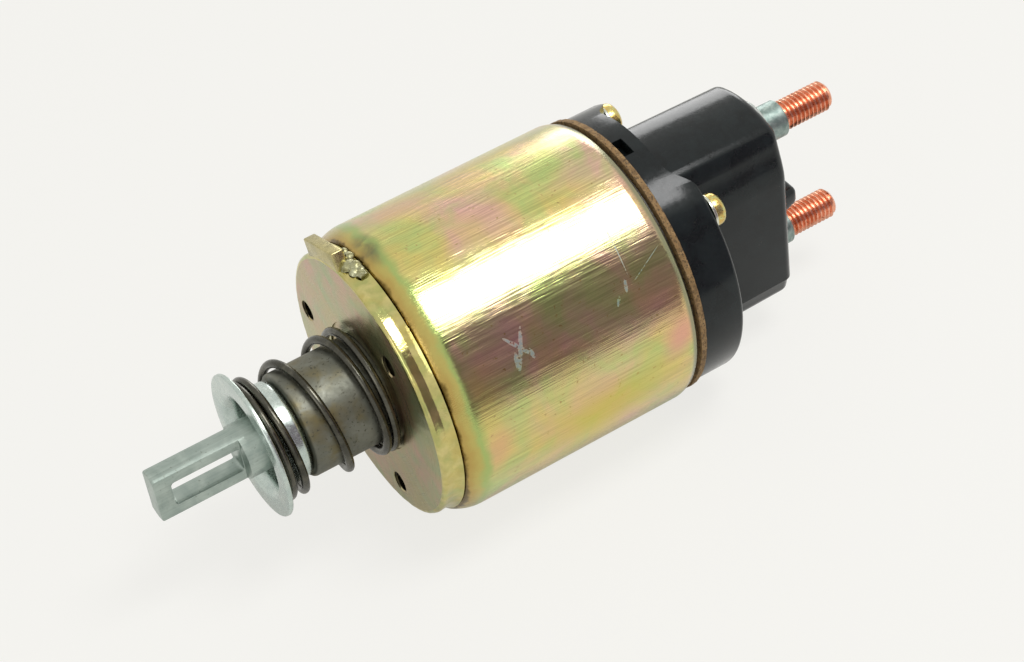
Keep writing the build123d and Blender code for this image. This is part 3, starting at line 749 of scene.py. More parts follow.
@dataclass(frozen=True)
class ScuffedCan(Finish):
    """The can's finish: brushed along its length, with rings of colour and rubbed places.

    Attributes:
        can_radius: Radius that the clock angles are measured at.
        pale: Colour where the plating is rubbed.
        soot: Colour of the heat stain beside the weld.
        lip: Colour of the rolled rear lip.
        lip_edge: Stations between which the lip's colour sets in.
        lip_share: Share of the colour under it that the lip's covers.
        bands: Station and colour of each ring of colour on the shoulder.
        bands_end: Station where the rings have faded out.
        bands_lead: How far the noise moves a ring's end and its start.
        wander_mm: Size of the waves in the rings.
        wander: How far the rings wander.
        rubs: Strokes where the plating is rubbed: a large crossed rub, then scratches near the rear.
        rub_patches: Size, share, offset and softness of the patches that a rub is broken into.
        rub_strength: Share of the plating that a rub takes.
        stain: The heat stain.
        stain_patches: Size, share, offset and softness of the patches that the stain is broken into.
        stain_strength: Share of the colour under it that the stain covers.
        clouds: Broad clouds in the film, each with a strength and colour of its own.
    """

    can_radius: float = 38.0
    pale: str = "#7f9193"
    soot: str = "#5f6050"
    bands: tuple[tuple[float, str], ...] = (
        # Dark ring at the joint with the plate: painted shade in the crease.
        (5.6, "#6e5a2e"),
        (6.3, "#b79d5a"),
        (8.2, "#bcae66"),
        (10.0, "#a8b870"),
    )
    bands_end: float = 12.6
    bands_lead: tuple[float, float] = (2.35, 2.15)
    wander_mm: float = 6.0
    wander: float = 4.5
    lip: str = "#8d8e72"
    lip_edge: tuple[float, float] = (69.4, 70.6)
    lip_share: float = 0.9
    rubs: tuple[Stroke, ...] = (
        Stroke((26.6, -38.1354), 66.0, 5.6, 0.62),
        Stroke((26.4, -37.6354), 128.0, 5.0, 0.55),
        Stroke((24.7, -40.7354), 84.0, 2.4, 0.8),
        Stroke((28.8, -40.3354), 100.0, 1.5, 0.6),
        Stroke((58.8, -26.8), 88.0, 8.0, 0.16),
        Stroke((63.8, -34.0), 28.0, 5.8, 0.12),
        Stroke((57.0, -36.4), 75.0, 1.8, 0.5),
        Stroke((53.8, -39.0), 60.0, 1.4, 0.45),
    )
    rub_patches: tuple[float, ...] = (0.8, 0.66, 0.02, 0.2)
    rub_strength: float = 0.8
    stain: Stroke = Stroke((8.8, 4.0), 88.0, 9.0, 3.4)
    stain_patches: tuple[float, ...] = (4.0, 0.72, 0.017, 0.6)
    stain_strength: float = 0.85
    clouds: tuple[Stroke, ...] = (
        Stroke((44.0, -66.0), 4.0, 24.0, 11.0, 0.75, "#cdbd4e"),
        Stroke((67.0, -55.0), 60.0, 9.0, 6.0, 0.8, "#de9f92"),
        Stroke((14.0, -60.0), 70.0, 10.0, 6.0, 0.6, "#dba888"),
        Stroke((24.0, -16.0), 20.0, 14.0, 7.0, 0.6, "#bccb7c"),
        Stroke((20.0, 14.0), -10.0, 14.0, 8.0, 0.6, "#dcae9c"),
    )

    def shoulder(self, tree: Tree, place: Socket, result: Socket) -> Socket:
        """Lays the rings of colour on the drawn shoulder, where the film grew thicker, and the lip's; the
        first, dark ring at the joint with the plate is painted shade in the crease.

        Args:
            tree: Node tree to add to.
            place: Object coordinates.
            result: Colour under them.

        Returns:
            The colour with the rings and the lip.
        """
        links = {"Vector": place, "Scale": 1 / (self.wander_mm * MM), "Detail": 4.0}
        wander = add_node(tree, "TexNoise", links).outputs[0]
        x = add_node(tree, "SeparateXYZ", {0: place}).outputs[0]
        links = {0: wander, 1: self.wander * MM, 2: x}
        station = add_node(tree, "Math", links, operation="MULTIPLY_ADD").outputs[0]
        ramps = []
        stop = self.bands_end
        end_lead, start_lead = self.bands_lead
        for start, tone in reversed(self.bands):
            limits = {"From Min": (stop + end_lead) * MM, "From Max": (start + start_lead) * MM}
            ramps.append(({"Value": station, **limits}, tone))
            stop = start
        low, high = self.lip_edge
        limits = {"From Min": low * MM, "From Max": high * MM, "To Max": self.lip_share}
        ramps.append(({"Value": x, **limits}, self.lip))
        for links, tone in ramps:
            share = add_node(tree, "MapRange", links, interpolation_type="SMOOTHSTEP").outputs[0]
            result = self.overlay(tree, result, [(share, srgb(tone))])
        return result

    def rolled_out(self, tree: Tree, place: Socket) -> tuple[Socket, Socket]:
        """Station along the can and length round it, both in metres."""
        x, y, z = add_node(tree, "SeparateXYZ", {0: place}).outputs
        angle = chain(tree, "ARCTAN2", (y, z))
        return x, chain(tree, "MULTIPLY", (angle, self.can_radius * MM))

    def wear(self, tree: Tree, place: Socket) -> Optional[Socket]:
        """Rubbed strokes and scratches on the rolled-out can."""
        u, v = self.rolled_out(tree, place)
        strongest = chain(tree, "MAXIMUM", (rub.share(tree, u, v, 0.7) for rub in self.rubs))
        broken = self.patches(tree, place, *self.rub_patches)
        return chain(tree, "MULTIPLY", (strongest, broken, self.rub_strength))

    def colour(self, tree: Tree, place: Socket, marks: Socket, worn: Optional[Socket]) -> Socket:
        """Plating colour with the shoulder's rings, the heat stain and the rubbed strokes over it."""
        result = super().colour(tree, place, marks, worn)
        u, v = self.rolled_out(tree, place)
        for cloud in self.clouds:
            share = chain(tree, "MULTIPLY", (cloud.share(tree, u, v, 0.1), cloud.strength))
            result = self.overlay(tree, result, [(share, srgb(cloud.tone))])
        result = self.shoulder(tree, place, result)
        broken = self.patches(tree, place, *self.stain_patches)
        stained = chain(tree, "MULTIPLY", (self.stain.share(tree, u, v, 0.15), broken, self.stain_strength))
        return self.overlay(tree, result, [(stained, srgb(self.soot)), (worn, srgb(self.pale))])


# Cold-drawn steel, zinc plated and yellow passivated: a mirror-like gold film that drifts to pink
# and green with its thickness, over fine brushing along the can.
CAN_ZINC = ScuffedCan(
    "yellow_zinc_brushed_steel", base="#d8c678", tint="#deafa6", accent="#b7c77e",
    shade=(0.8, 1.12), rough=(0.08, 0.27), grain=Grain.ALONG, grain_mm=0.26, patch_mm=24.0,
    soft=0.42, relief_mm=0.046, tint_share=0.42, accent_share=0.4, speck="#b39d66", speck_mm=0.9,
    speck_share=0.05,
)
# The same plating on a turned plate: thinner film, greyer and greener with pink clouds, smooth
# enough to mirror the spring in front of it.
PLATE_ZINC = Finish(
    "yellow_zinc_turned_steel", base="#b3a878", tint="#c49c8b", accent="#a0aa7c",
    rough=(0.24, 0.36), grain=Grain.TURNED, grain_mm=0.35, patch_mm=17.0, soft=0.45,
    relief_mm=0.004,
)
# The plate's rolled rim: bright gold and green, slightly wavy, so that highlights run along it.
RIM_ZINC = Finish(
    "yellow_zinc_rolled_rim", base="#c2b26c", tint="#abb070", accent="#cfc284", rough=(0.09, 0.2),
    grain_mm=2.4, patch_mm=7.0, soft=0.4, relief_mm=0.09,
)
# Sheared key bar under the same plating: olive gold with a rougher, slightly torn face.
BAR_ZINC = Finish(
    "yellow_zinc_sheared_bar", base="#b9ad78", tint="#c9bd88", accent="#a59c6c", rough=(0.2, 0.36),
    grain_mm=0.6, patch_mm=6.0, soft=0.4, relief_mm=0.03,
)
# Cut thread inside the tapped holes: bare steel painted dark, as painted shade deep in the holes.
PAINTED_SHADE_THREAD = Finish(
    "cut_steel_painted_shade", base="#3f3a2c", tint="#2c281f", accent="#565038", rough=(0.3, 0.5),
    grain_mm=0.4, patch_mm=2.0, relief_mm=0.02,
)
# Electric weld over which the plating has gone thick and dull, with scale in its hollows.
WELD = Finish(
    "plated_weld_bead", base="#b0b090", tint="#9b9872", accent="#79744f", rough=(0.3, 0.5),
    grain_mm=0.5, patch_mm=3.0, relief_mm=0.04, speck="#4a4232", speck_mm=1.1, speck_share=0.15,
)
# Phenolic moulding compound: dense black with a hard, slightly waxy shine and moulding dust.
CAP_PHENOLIC = Finish(
    "black_phenolic_moulding", base="#151a1b", tint="#191f20", accent="#111516", metallic=0.0,
    rough=(0.11, 0.2), grain_mm=1.1, patch_mm=9.0, relief_mm=0.014, speck="#262722", speck_mm=0.5,
    speck_share=0.04, ior=1.35,
)
# Vulcanised fibre, punched: brown, matt, with pale and dark fibres showing.
GASKET_FIBRE = Finish(
    "vulcanised_fibre", base="#8a6c44", tint="#735938", accent="#9d7f56", metallic=0.0,
    rough=(0.7, 0.92), grain_mm=0.3, patch_mm=2.2, relief_mm=0.08, speck="#4d3c26", speck_mm=0.5,
    speck_share=0.32,
)
# Copper, cold headed, with a rolled thread: bright orange crests and browner roots.
STUD_COPPER = Finish(
    "rolled_copper", base="#eba688", tint="#dc9474", accent="#f2b59a", rough=(0.22, 0.38),
    grain_mm=0.4, patch_mm=4.0, relief_mm=0.006, speck="#a8664a", speck_mm=0.7, speck_share=0.12,
)
# Steel collar with a grey phosphate coat: dull and finely crystalline.
COLLAR_STEEL = Finish(
    "phosphated_steel", base="#8c9c97", tint="#7a8a85", accent="#a2b0aa", rough=(0.35, 0.55),
    grain_mm=0.25, patch_mm=2.5, relief_mm=0.012,
)
# Unfilled nylon: milky and slightly see-through, with a soft shine.
SEAL_NYLON = Finish(
    "natural_nylon", base="#e3e8e3", tint="#d5ddd8", accent="#eceee8", metallic=0.0,
    rough=(0.3, 0.45), grain_mm=0.6, patch_mm=3.0, relief_mm=0.01, transmission=0.45,
)
# Pan-head screw, zinc plated and yellow passivated: brassy, brighter than the can.
SCREW_ZINC = Finish(
    "yellow_zinc_screw", base="#d9bf72", tint="#cfae62", accent="#c9c98a", rough=(0.18, 0.34),
    grain_mm=0.4, patch_mm=2.5, relief_mm=0.008, speck="#8d7440", speck_mm=0.5, speck_share=0.18,
)
# Stamped washer, bright zinc.
WASHER_ZINC = Finish(
    "bright_zinc_washer", base="#cfd2c4", tint="#c3c6b5", accent="#dcdccf", rough=(0.16, 0.3),
    grain_mm=0.3, patch_mm=2.0, relief_mm=0.006,
)
# Oil-tempered spring wire: brown-black drawn skin with a greasy shine and fine die lines.
SPRING_WIRE = Finish(
    "oil_tempered_wire", base="#52514a", tint="#46453e", accent="#5f5d53", rough=(0.2, 0.32),
    grain_mm=1.0, patch_mm=7.0, relief_mm=0.006,
)
# Mild steel plunger, tumbled and thinly plated: soft grey with a faint yellow cast.
PLUNGER_STEEL = Finish(
    "tumbled_mild_steel", base="#6d6e64", tint="#756c4e", accent="#7e7f75", rough=(0.42, 0.6),
    grain_mm=0.9, patch_mm=9.0, relief_mm=0.035, tint_share=0.35, speck="#55534a", speck_mm=0.7,
    speck_share=0.14,
)
# Pressed sheet cup, bright blue zinc.
SEAT_ZINC = Finish(
    "blue_zinc_pressing", base="#bcc8c2", tint="#b0bdb8", accent="#c8d1ca", rough=(0.2, 0.32),
    grain_mm=0.9, patch_mm=8.0, soft=0.5, relief_mm=0.003,
)
# Milled link, bright blue zinc: a little rougher, with milling marks under the plating.
LINK_ZINC = Finish(
    "blue_zinc_milled_steel", base="#9eaaa3", tint="#8f9d96", accent="#afbab2", rough=(0.28, 0.42),
    grain=Grain.ALONG, grain_mm=0.5, patch_mm=8.0, soft=0.5, relief_mm=0.008, speck="#8a938a",
    speck_mm=0.7, speck_share=0.1,
)
# Drawn brass tube.
SLEEVE_BRASS = Finish(
    "drawn_brass", base="#cdab62", tint="#bf9c55", accent="#d9ba78", rough=(0.2, 0.34),
    grain=Grain.ALONG, grain_mm=0.4,
)
# Glass-filled nylon bobbin: off-white, matt, with flow marks.
BOBBIN_NYLON = Finish(
    "glass_filled_nylon", base="#cfc9b6", tint="#c2bba6", accent="#d9d4c4", metallic=0.0,
    rough=(0.45, 0.6), relief_mm=0.02, speck="#aaa48f",
)
# Enamelled copper wire, wound in close turns: each turn shows as a rounded ridge.
WINDING_COPPER = Finish(
    "enamelled_copper_winding", base="#a5522a", tint="#8e4322", accent="#b8653a",
    rough=(0.22, 0.36), grain=Grain.TURNED, grain_mm=0.4, relief_mm=0.35, pitch_mm=2.6, coat=0.4,
)
# Oiled insulating paper, wrapped: tan and matt with long fibres.
WRAP_PAPER = Finish(
    "oiled_insulating_paper", base="#b59a68", tint="#a78b5a", accent="#c2a878", metallic=0.0,
    rough=(0.6, 0.8), grain=Grain.TURNED, grain_mm=0.6, relief_mm=0.03,
)
# Turned mild steel, thinly oiled.
CORE_STEEL = Finish(
    "turned_mild_steel", base="#9b9b95", tint="#8d8c85", accent="#a9a9a2", rough=(0.28, 0.42),
    grain=Grain.TURNED, grain_mm=0.35, speck="#6f6d65",
)
# Brass blade, tin plated: pale and soft-looking with dull rub marks.
BLADE_TIN = Finish(
    "tinned_brass", base="#cfcabb", tint="#c2bba8", accent="#dcd8cc", rough=(0.24, 0.4),
    grain_mm=0.4, patch_mm=3.0, speck="#a49a80",
)
# Ground steel rod.
ROD_STEEL = Finish(
    "ground_steel", base="#aeb0ad", tint="#a1a3a0", accent="#bbbdb9", rough=(0.16, 0.28),
    grain=Grain.TURNED, grain_mm=0.25,
)
# Paper-filled phenolic bush: red-brown, waxy.
BUSH_RESIN = Finish(
    "paper_phenolic", base="#5f2f1b", tint="#512614", accent="#6e3a24", metallic=0.0,
    rough=(0.35, 0.5), grain=Grain.TURNED, grain_mm=0.4, relief_mm=0.01,
)


class Wardrobe:
    """Keeps each finish's material, so that it is built once."""

    def __init__(self) -> None:
        """Starts with no material built."""
        self.built: dict[Finish, bpy.types.Material] = {}

    def get(self, finish: Finish) -> bpy.types.Material:
        """Material of a finish."""
        if finish not in self.built:
            self.built[finish] = finish.build()
        return self.built[finish]


WARDROBE = Wardrobe()


@dataclass
class Assembly:
    """A group of pieces that ride on one body of the frame."""

    body: str = "housing"

    def place(self, bm: Solid, name: str, finish: Finish, slot: str, nodes: Sequence[str] = (),
              crease: float = 32.0, parts: Sequence[tuple[Finish, Test]] = ()) -> bpy.types.Object:
        """Makes a finished piece from a working mesh.

        Args:
            bm: Working mesh in millimetres.
            name: Name of the piece.
            finish: Finish it is dressed in.
            slot: Material slot that it belongs to; not used.
            nodes: Frame nodes that it stands for.
            crease: Angle in degrees past which an edge stays sharp.
            parts: Further finishes, each with a test of a face's middle.

        Returns:
            The placed piece.
        """
        for index, (_, test) in enumerate(parts, start=1):
            for face in bm.faces:
                if test(face.calc_center_median()):
                    face.material_index = index
        mesh = to_mesh(bm, name)
        mesh.shade_smooth()
        mesh.set_sharp_from_angle(angle=math.radians(crease))
        for each in (finish, *(other for other, _ in parts)):
            mesh.materials.append(WARDROBE.get(each))
        piece = add_object(name, mesh)
        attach(piece, self.body)
        if nodes:
            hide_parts(*nodes)
        LOG.info("%s: %d faces on %s", name, len(mesh.polygons), self.body)
        return piece


@dataclass
class MountingPlate(Assembly):
    """Thick round plate with its tapped holes, locating bar and weld."""

    radius: float = 35.3
    thickness: float = 5.6
    edge_round: float = 1.4
    waist_x: float = 2.6
    waist_drop: float = 0.3
    flare: float = 0.9
    flare_round: float = 0.26
    wave_height: float = 0.12
    wave_length: float = 2.2
    bore: float = 14.0
    sleeve_bore: float = 14.51
    sleeve_recess: float = 2.0
    recess_radius: float = 17.2
    recess_depth: float = 0.4
    hole_minor: float = 2.5
    hole_major: float = 2.98
    hole_pitch: float = 1.0
    holes: tuple[tuple[float, float], ...] = ((29.1, 82.5), (23.8, -40.3), (28.5, -163.6))
    sink_radius: float = 2.65
    sink_depth: float = 0.35
    bar_clock: float = 20.0
    bar_length: float = 16.5
    bar_top: float = 38.5
    bar_thickness: float = 3.2
    bar_seat: float = 0.6
    bead_radius: float = 1.15
    bead_clock: float = -4.0
    bead_sweep: float = 22.0
    full_end: float = 8.0
    lumps: tuple[tuple[float, float, float, float], ...] = (
        (3.1, 34.7, 5.4, 2.4),
        (2.1, 34.6, 4.6, 1.6),
        (4.1, 34.9, 3.0, 2.1),
        (3.0, 34.7, 0.8, 1.7),
        (4.5, 35.2, 0.0, 1.3),
        (4.5, 35.3, 9.6, 1.9),
        (4.8, 35.7, 14.0, 1.3),
    )

    def tapped_hole(self, centre: Centre) -> Solid:
        """Cutter for one tapped hole, past both faces of the plate."""
        ends = (-0.5, self.thickness + 0.5)
        return thread(self.hole_major, self.hole_minor, self.hole_pitch, *ends, centre, 24)

    def countersink(self, centre: Centre) -> Solid:
        """Cutter for the small countersink in front of a tapped hole."""
        front = (-0.5, self.sink_radius + 0.85)
        back = (self.sink_depth, self.sink_radius)
        return lathe(((-0.5, 0.0), front, back, (0.5, 0.0)), 32, centre=centre)

    def rim(self) -> list[tuple[float, ...]]:
        """Profile of the rim.

        Returns:
            A rounded front edge, a waist and a cove that flares to the can.
        """
        waist = self.radius - self.waist_drop
        rise = self.flare + self.waist_drop
        run = self.thickness - self.waist_x
        cove = (run**2 + rise**2) / 2 / rise
        points: list[tuple[float, ...]] = [
            (0.0, self.radius, self.edge_round * 0.9),
            (self.waist_x, waist, 0.5),
        ]
        for step in range(2, 10):
            out = run * step / 10
            points.append((self.waist_x + out, waist + cove - math.sqrt(cove**2 - out**2)))
        points.append((self.thickness - 0.22, self.radius + self.flare - self.flare_round, 0.12))
        return [*points, (self.thickness, self.radius)]

    def in_hole(self, spot: Vector) -> bool:
        """Whether a point lies on the wall of a tapped hole, behind its countersink."""
        if spot.x <= self.sink_depth - 0.05:
            return False
        reach = self.hole_major + 0.02
        return any((spot - clock_point(spot.x, radius, clock)).length < reach for radius, clock in self.holes)

    def on_rim(self, spot: Vector) -> bool:
        """Whether a point lies on the plate's rim."""
        return math.hypot(spot.y, spot.z) > self.radius - self.edge_round - 0.1

    def build(self) -> None:
        """Builds the plate, its bar and the weld."""
        profile = (
            (0.0, self.recess_radius),
            *self.rim(),
            (self.thickness, self.sleeve_bore),
            (self.sleeve_recess, self.sleeve_bore),
            (self.sleeve_recess, self.bore),
            (self.recess_depth, self.bore, 0.15),
            (self.recess_depth, self.recess_radius),
        )
        plate = lathe(profile, 300, closed=True)
        waved = self.thickness - 0.1
        roughen(plate, self.wave_height, self.wave_length, lambda spot: self.on_rim(spot) and spot.x < waved)
        cutters = []
        for hole in self.holes:
            centre = clock_centre(*hole)
            cutters += [self.tapped_hole(centre), self.countersink(centre)]
        # The walls of the tapped holes get a dark colour: painted shade inside the holes.
        parts = ((RIM_ZINC, self.on_rim), (PAINTED_SHADE_THREAD, self.in_hole))
        plate = cut_away(plate, cutters)
        self.place(plate, "mounting_plate", PLATE_ZINC, "plate_zinc", ["front_plate"], parts=parts)
        self.build_bar()
        self.build_weld()

    def build_bar(self) -> None:
        """Builds the locating bar on the plate's rim."""
        up = clock_point(0.0, 1.0, self.bar_clock)
        along = Vector((0.0, up.z, -up.y))
        half = self.bar_length / 2
        low = math.sqrt((self.radius - self.bar_seat)**2 - half**2) - 0.4
        corners = ((-half, low), (-half, self.bar_top), (half, self.bar_top), (half, low))
        points = [along * far + up * high for far, high in corners]
        bar = prism(points, (), (self.bar_thickness, 0.0, 0.0))
        soften(bar, 0.35, segments=3)
        bar = cut_away(bar, [self.rim_cutter()])
        self.place(bar, "locating_bar", BAR_ZINC, "plate_zinc", ["locating_lug"])

    def rim_cutter(self) -> Solid:
        """Solid inside the rim, with a step in front of it, that seats what lies on the rim."""
        clear = 0.01
        seat = self.radius - self.bar_seat
        crest = [(x, radius + clear) for x, radius, *_ in self.rim()]
        crest[0] = (self.edge_round, self.radius + clear)
        return lathe(((-1.0, 0.0), (-1.0, seat), (0.25, seat), *crest, (self.thickness, 0.0)), 300)

    def lump(self, x: float, radius: float, clock: float, size: float) -> Solid:
        """One uneven drop of weld metal.

        Args:
            x: Station of its middle.
            radius: Distance of its middle from the plunger's axis.
            clock: Clock angle of its middle.
            size: Its radius.

        Returns:
            The drop.
        """
        bm = bmesh.new()
        bmesh.ops.create_icosphere(bm, subdivisions=4, radius=size)
        shift(bm, clock_point(x, radius, clock))
        roughen(bm, 0.17 * size, 1.2, lambda spot: True)
        return bm

    def build_weld(self) -> None:
        """Builds the lumpy weld behind the bar, fuller past the bar's near end."""
        centre = self.bar_thickness + self.bead_radius
        profile = []
        for step in range(-20, 201, 10):
            angle = math.radians(step)
            across = self.bead_radius * math.cos(angle)
            profile.append((centre + across, self.radius + self.bead_radius * math.sin(angle)))
        bead = lathe(profile, 120, closed=True, sweep=self.bead_sweep)
        rotate(bead, -self.bead_clock - self.bead_sweep)
        seat = self.radius - 0.2
        for vert in bead.verts:
            radius = math.hypot(vert.co.y, vert.co.z)
            lift = radius - seat
            if lift <= 0.25:
                continue
            clock = math.degrees(math.atan2(vert.co.y, vert.co.z))
            fade_in = min(max((clock - self.bead_clock + 0.2) / 2.5, 0.1), 1.0)
            near = min(max((self.full_end - clock) / 3.0, 0.0), 1.0) * fade_in
            lump = 0.6 + 0.3 * noise.noise(vert.co / 1.5) + 0.16 * noise.noise(vert.co / 0.55)
            widen(vert, (seat + lift * lump * (1.0 + 0.15 * near)) / radius)
            spread = 0.5 + 0.5 * noise.noise(vert.co / 2.0)
            vert.co.x += (vert.co.x - centre) * spread * near - 0.2 * near
        steps = [(Cut.ON, self.lump(*place)) for place in self.lumps]
        bead = carve(bead, [*steps, (Cut.AWAY, self.rim_cutter())])
        self.place(bead, "weld_bead", WELD, "weld", ["lug_weld"], crease=60.0)


@dataclass
class Can(Assembly):
    """Drawn can with a rounded shoulder and a rolled rear lip, and the fibre ring behind it."""

    front: float = 5.6
    rear: float = 71.8
    radius: float = 38.0
    wall_inner: float = 34.6
    front_wall: float = 3.0
    shoulder: float = 6.0
    nose_drop: float = 1.7
    inner_round: float = 3.0
    lip_length: float = 2.3
    lip_drop: float = 0.9
    mouth: float = 35.0
    mouth_front: float = 62.0
    hole: float = 14.76
    screw_room: float = 3.2
    gasket_front: float = 72.8
    gasket_back: float = 74.4
    gasket_outer: float = 37.4
    gasket_inner: float = 26.0
    gasket_round: float = 0.12
    screw_circle: float = 31.7
    gasket_hole: float = 2.75

    def nose(self) -> list[tuple[float, float]]:
        """Profile of the drawn shoulder.

        Returns:
            Its points, from the plate to the straight wall.
        """
        curve = (self.shoulder**2 + self.nose_drop**2) / 2 / self.nose_drop
        points = []
        for step in range(13):
            back = self.shoulder * (0.96 - 0.96 * step / 12)
            radius = self.radius - curve + math.sqrt(curve**2 - back**2)
            points.append((self.front + self.shoulder - back, radius))
        return points

    def build(self) -> None:
        """Builds the can and the gasket."""
        wall_back = self.front + self.front_wall
        profile = (
            (self.front, self.hole),
            (self.front, self.radius - self.nose_drop - 0.35),
            *self.nose(),
            (self.rear - self.lip_length, self.radius, 0.9),
            (self.rear - 0.2, self.radius - self.lip_drop, 0.35),
            (self.rear - 0.05, self.mouth + 0.3, 0.2),
            (self.rear - 0.4, self.mouth),
            (self.mouth_front, self.mouth),
            (self.mouth_front, self.wall_inner),
            (wall_back, self.wall_inner, self.inner_round),
            (wall_back, self.hole),
        )
        rooms = [
            cylinder(self.front - 0.6, wall_back + 0.6, self.screw_room, 32, clock_centre(*hole))
            for hole in MountingPlate().holes
        ]
        can = cut_away(lathe(profile, 192, closed=True), rooms)
        self.place(can, "can", CAN_ZINC, "can_zinc", ["housing_can"])
        self.build_gasket()

    def build_gasket(self) -> None:
        """Builds the fibre ring with its ragged punched edge."""
        profile = (
            (self.gasket_front, self.gasket_inner),
            (self.gasket_front, self.gasket_outer, self.gasket_round),
            ((self.gasket_front + self.gasket_back) / 2, self.gasket_outer),
            (self.gasket_back, self.gasket_outer, self.gasket_round),
            (self.gasket_back, self.gasket_inner),
        )
        ring = lathe(profile, 420, closed=True)
        for vert in ring.verts:
            radius = math.hypot(vert.co.y, vert.co.z)
            if radius > self.gasket_outer - 0.4:
                torn = 0.14 * (noise.noise(vert.co / 0.9) - 0.8) + 0.1 * (noise.noise(vert.co / 4.0) - 0.6)
                widen(vert, (radius + torn) / radius)
        past = (self.gasket_front - 0.8, self.gasket_back + 0.6)
        holes = [cylinder(*past, self.gasket_hole, 24, centre) for centre in screw_centres(self.screw_circle)]
        ring = cut_away(ring, holes)
        self.place(ring, "fibre_gasket", GASKET_FIBRE, "gasket_fibre", ["gasket"], crease=50.0)


@dataclass
class TerminalCap(Assembly):
    """Black moulded cap: flange with lowered ledges, high boss, barrier rib and open chamber."""

    front: float = 74.4
    flange_radius: float = 36.5
    flange_back: float = 86.2
    flange_round: float = 1.2
    ledge: float = 80.9
    ledge_half: float = 14.5
    ledge_brow: float = 20.5
    ledge_round: float = 1.75
    boss_back: float = 115.5
    boss_radius: float = 29.2
    boss_flat: float = 16.015
    boss_round: float = 2.6
    draft: float = 0.573
    chamber_radius: float = 26.0
    chamber_roof: float = 82.0
    slot_radius: float = 24.6
    slot_half: float = 12.515
    chamber_end: float = 110.5
    spring_seat: float = 112.5
    spring_room: float = 6.6
    stud_z: float = 18.0
    stud_hole: float = 4.25
    screw_radius: float = 31.7
    screw_hole: float = 2.75
    rib_back: float = 121.5
    rib_foot: float = 13.0
    rib_top: float = 11.0
    rib_low: float = -2.5
    rib_high: float = 4.5
    rib_round: float = 1.7
    blade_y: float = 22.515
    blade_z: float = -8.0

    def section(self, bm: Solid, x: float, grow: float) -> list[bmesh.types.BMEdge]:
        """Draws one section of the boss.

        Args:
            bm: Mesh to draw in.
            x: Station of the section.
            grow: How far it stands outside the boss's top section.

        Returns:
            Its edges.
        """
        before = set(bm.edges)
        radius = self.boss_radius + grow
        flat = self.boss_flat + grow
        corner = flat - 3.3
        strip = flat - 2.2
        side = [
            (corner, math.sqrt(radius**2 - corner**2), max(2.6 + grow, 0.5)),
            (flat - 2.0, 21.0, 1.4),
            (flat - 0.7, 17.0, 1.2),
            (flat, 14.0, 1.4),
            (flat, -20.0, 0.25),
            (flat - 0.7, -20.0, 0.25),
            (strip, -math.sqrt(radius**2 - strip**2), max(2.0 + grow, 0.5)),
        ]
        other = [(-y, z, size) for y, z, size in reversed(side)]
        points: list[Vector] = []
        rounds: list[float] = []
        for run, (begin, end) in ((side, (side[-1], other[0])), (other, (other[-1], side[0]))):
            points.extend(Vector((x, y, z)) for y, z, _ in run)
            rounds.extend(size for _, _, size in run)
            start = math.atan2(begin[0], begin[1])
            stop = math.atan2(end[0], end[1])
            if stop < start:
                stop += math.tau
            clocks = [start + (stop - start) * step / 8 for step in range(1, 8)]
            points.extend(clock_point(x, radius, math.degrees(clock)) for clock in clocks)
            rounds.extend(0.0 for _ in clocks)
        draw(bm, points, True, rounds)
        return [edge for edge in bm.edges if edge not in before]

    def boss(self) -> Solid:
        """The high boss, lofted through sections so that its rear edge is fully rounded."""
        bm = bmesh.new()
        places = [(self.ledge - 0.6, self.draft), (self.boss_back - self.boss_round, 0.0)]
        for step in range(1, 9):
            turn = math.radians(90.0 * step / 8)
            x = self.boss_back - self.boss_round * (1 - math.sin(turn))
            places.append((x, -self.boss_round * (1 - math.cos(turn))))
        loops = [self.section(bm, x, grow) for x, grow in places]
        for loop in (loops[0], loops[-1]):
            bmesh.ops.contextual_create(bm, geom=loop)
        for low, high in zip(loops, loops[1:]):
            bmesh.ops.bridge_loops(bm, edges=low + high)
        bmesh.ops.recalc_face_normals(bm, faces=bm.faces)
        return bm

    def ledge_cutter(self, end: float) -> Solid:
        """Cutter that lowers the flange at one end of the boss."""
        past = self.flange_radius + 1
        corners = (
            (self.flange_back, -past, 0.0),
            (self.flange_back, -self.ledge_brow, self.ledge_round),
            (self.ledge, -self.ledge_half, self.ledge_round),
            (self.ledge, self.ledge_half, self.ledge_round),
            (self.flange_back, self.ledge_brow, self.ledge_round),
            (self.flange_back, past, 0.0),
            (self.flange_back + 2, past, 0.0),
            (self.flange_back + 2, -past, 0.0),
        )
        points = [(x, y, end * past) for x, y, _ in corners]
        return prism(points, [size for _, _, size in corners], (0.0, 0.0, -end * (self.flange_radius - 15.0)))

    def rib(self) -> Solid:
        """Barrier rib between the studs."""
        bm = block(
            (self.boss_back - 2.0, -self.rib_foot, self.rib_low),
            (self.rib_back, self.rib_foot, self.rib_high),
        )
        middle = (self.rib_low + self.rib_high) / 2
        slim = self.rib_foot - self.rib_top
        height = (self.rib_high - self.rib_low) / 2
        for vert in bm.verts:
            if vert.co.x > self.boss_back:
                vert.co.y *= self.rib_top / self.rib_foot
                vert.co.z = middle + (vert.co.z - middle) * (height - slim / 2) / height
        outer = [edge for edge in bm.edges if any(vert.co.x > self.boss_back for vert in edge.verts)]
        bevel(bm, outer, self.rib_round)
        return bm

    def window(self) -> Solid:
        """Cutter for the small window in the flange's rim."""
        bm = block((self.front - 1.0, -2.9, 33.3), (self.front + 3.2, 2.9, 40.0))
        rotate(bm, 5.5)
        return bm

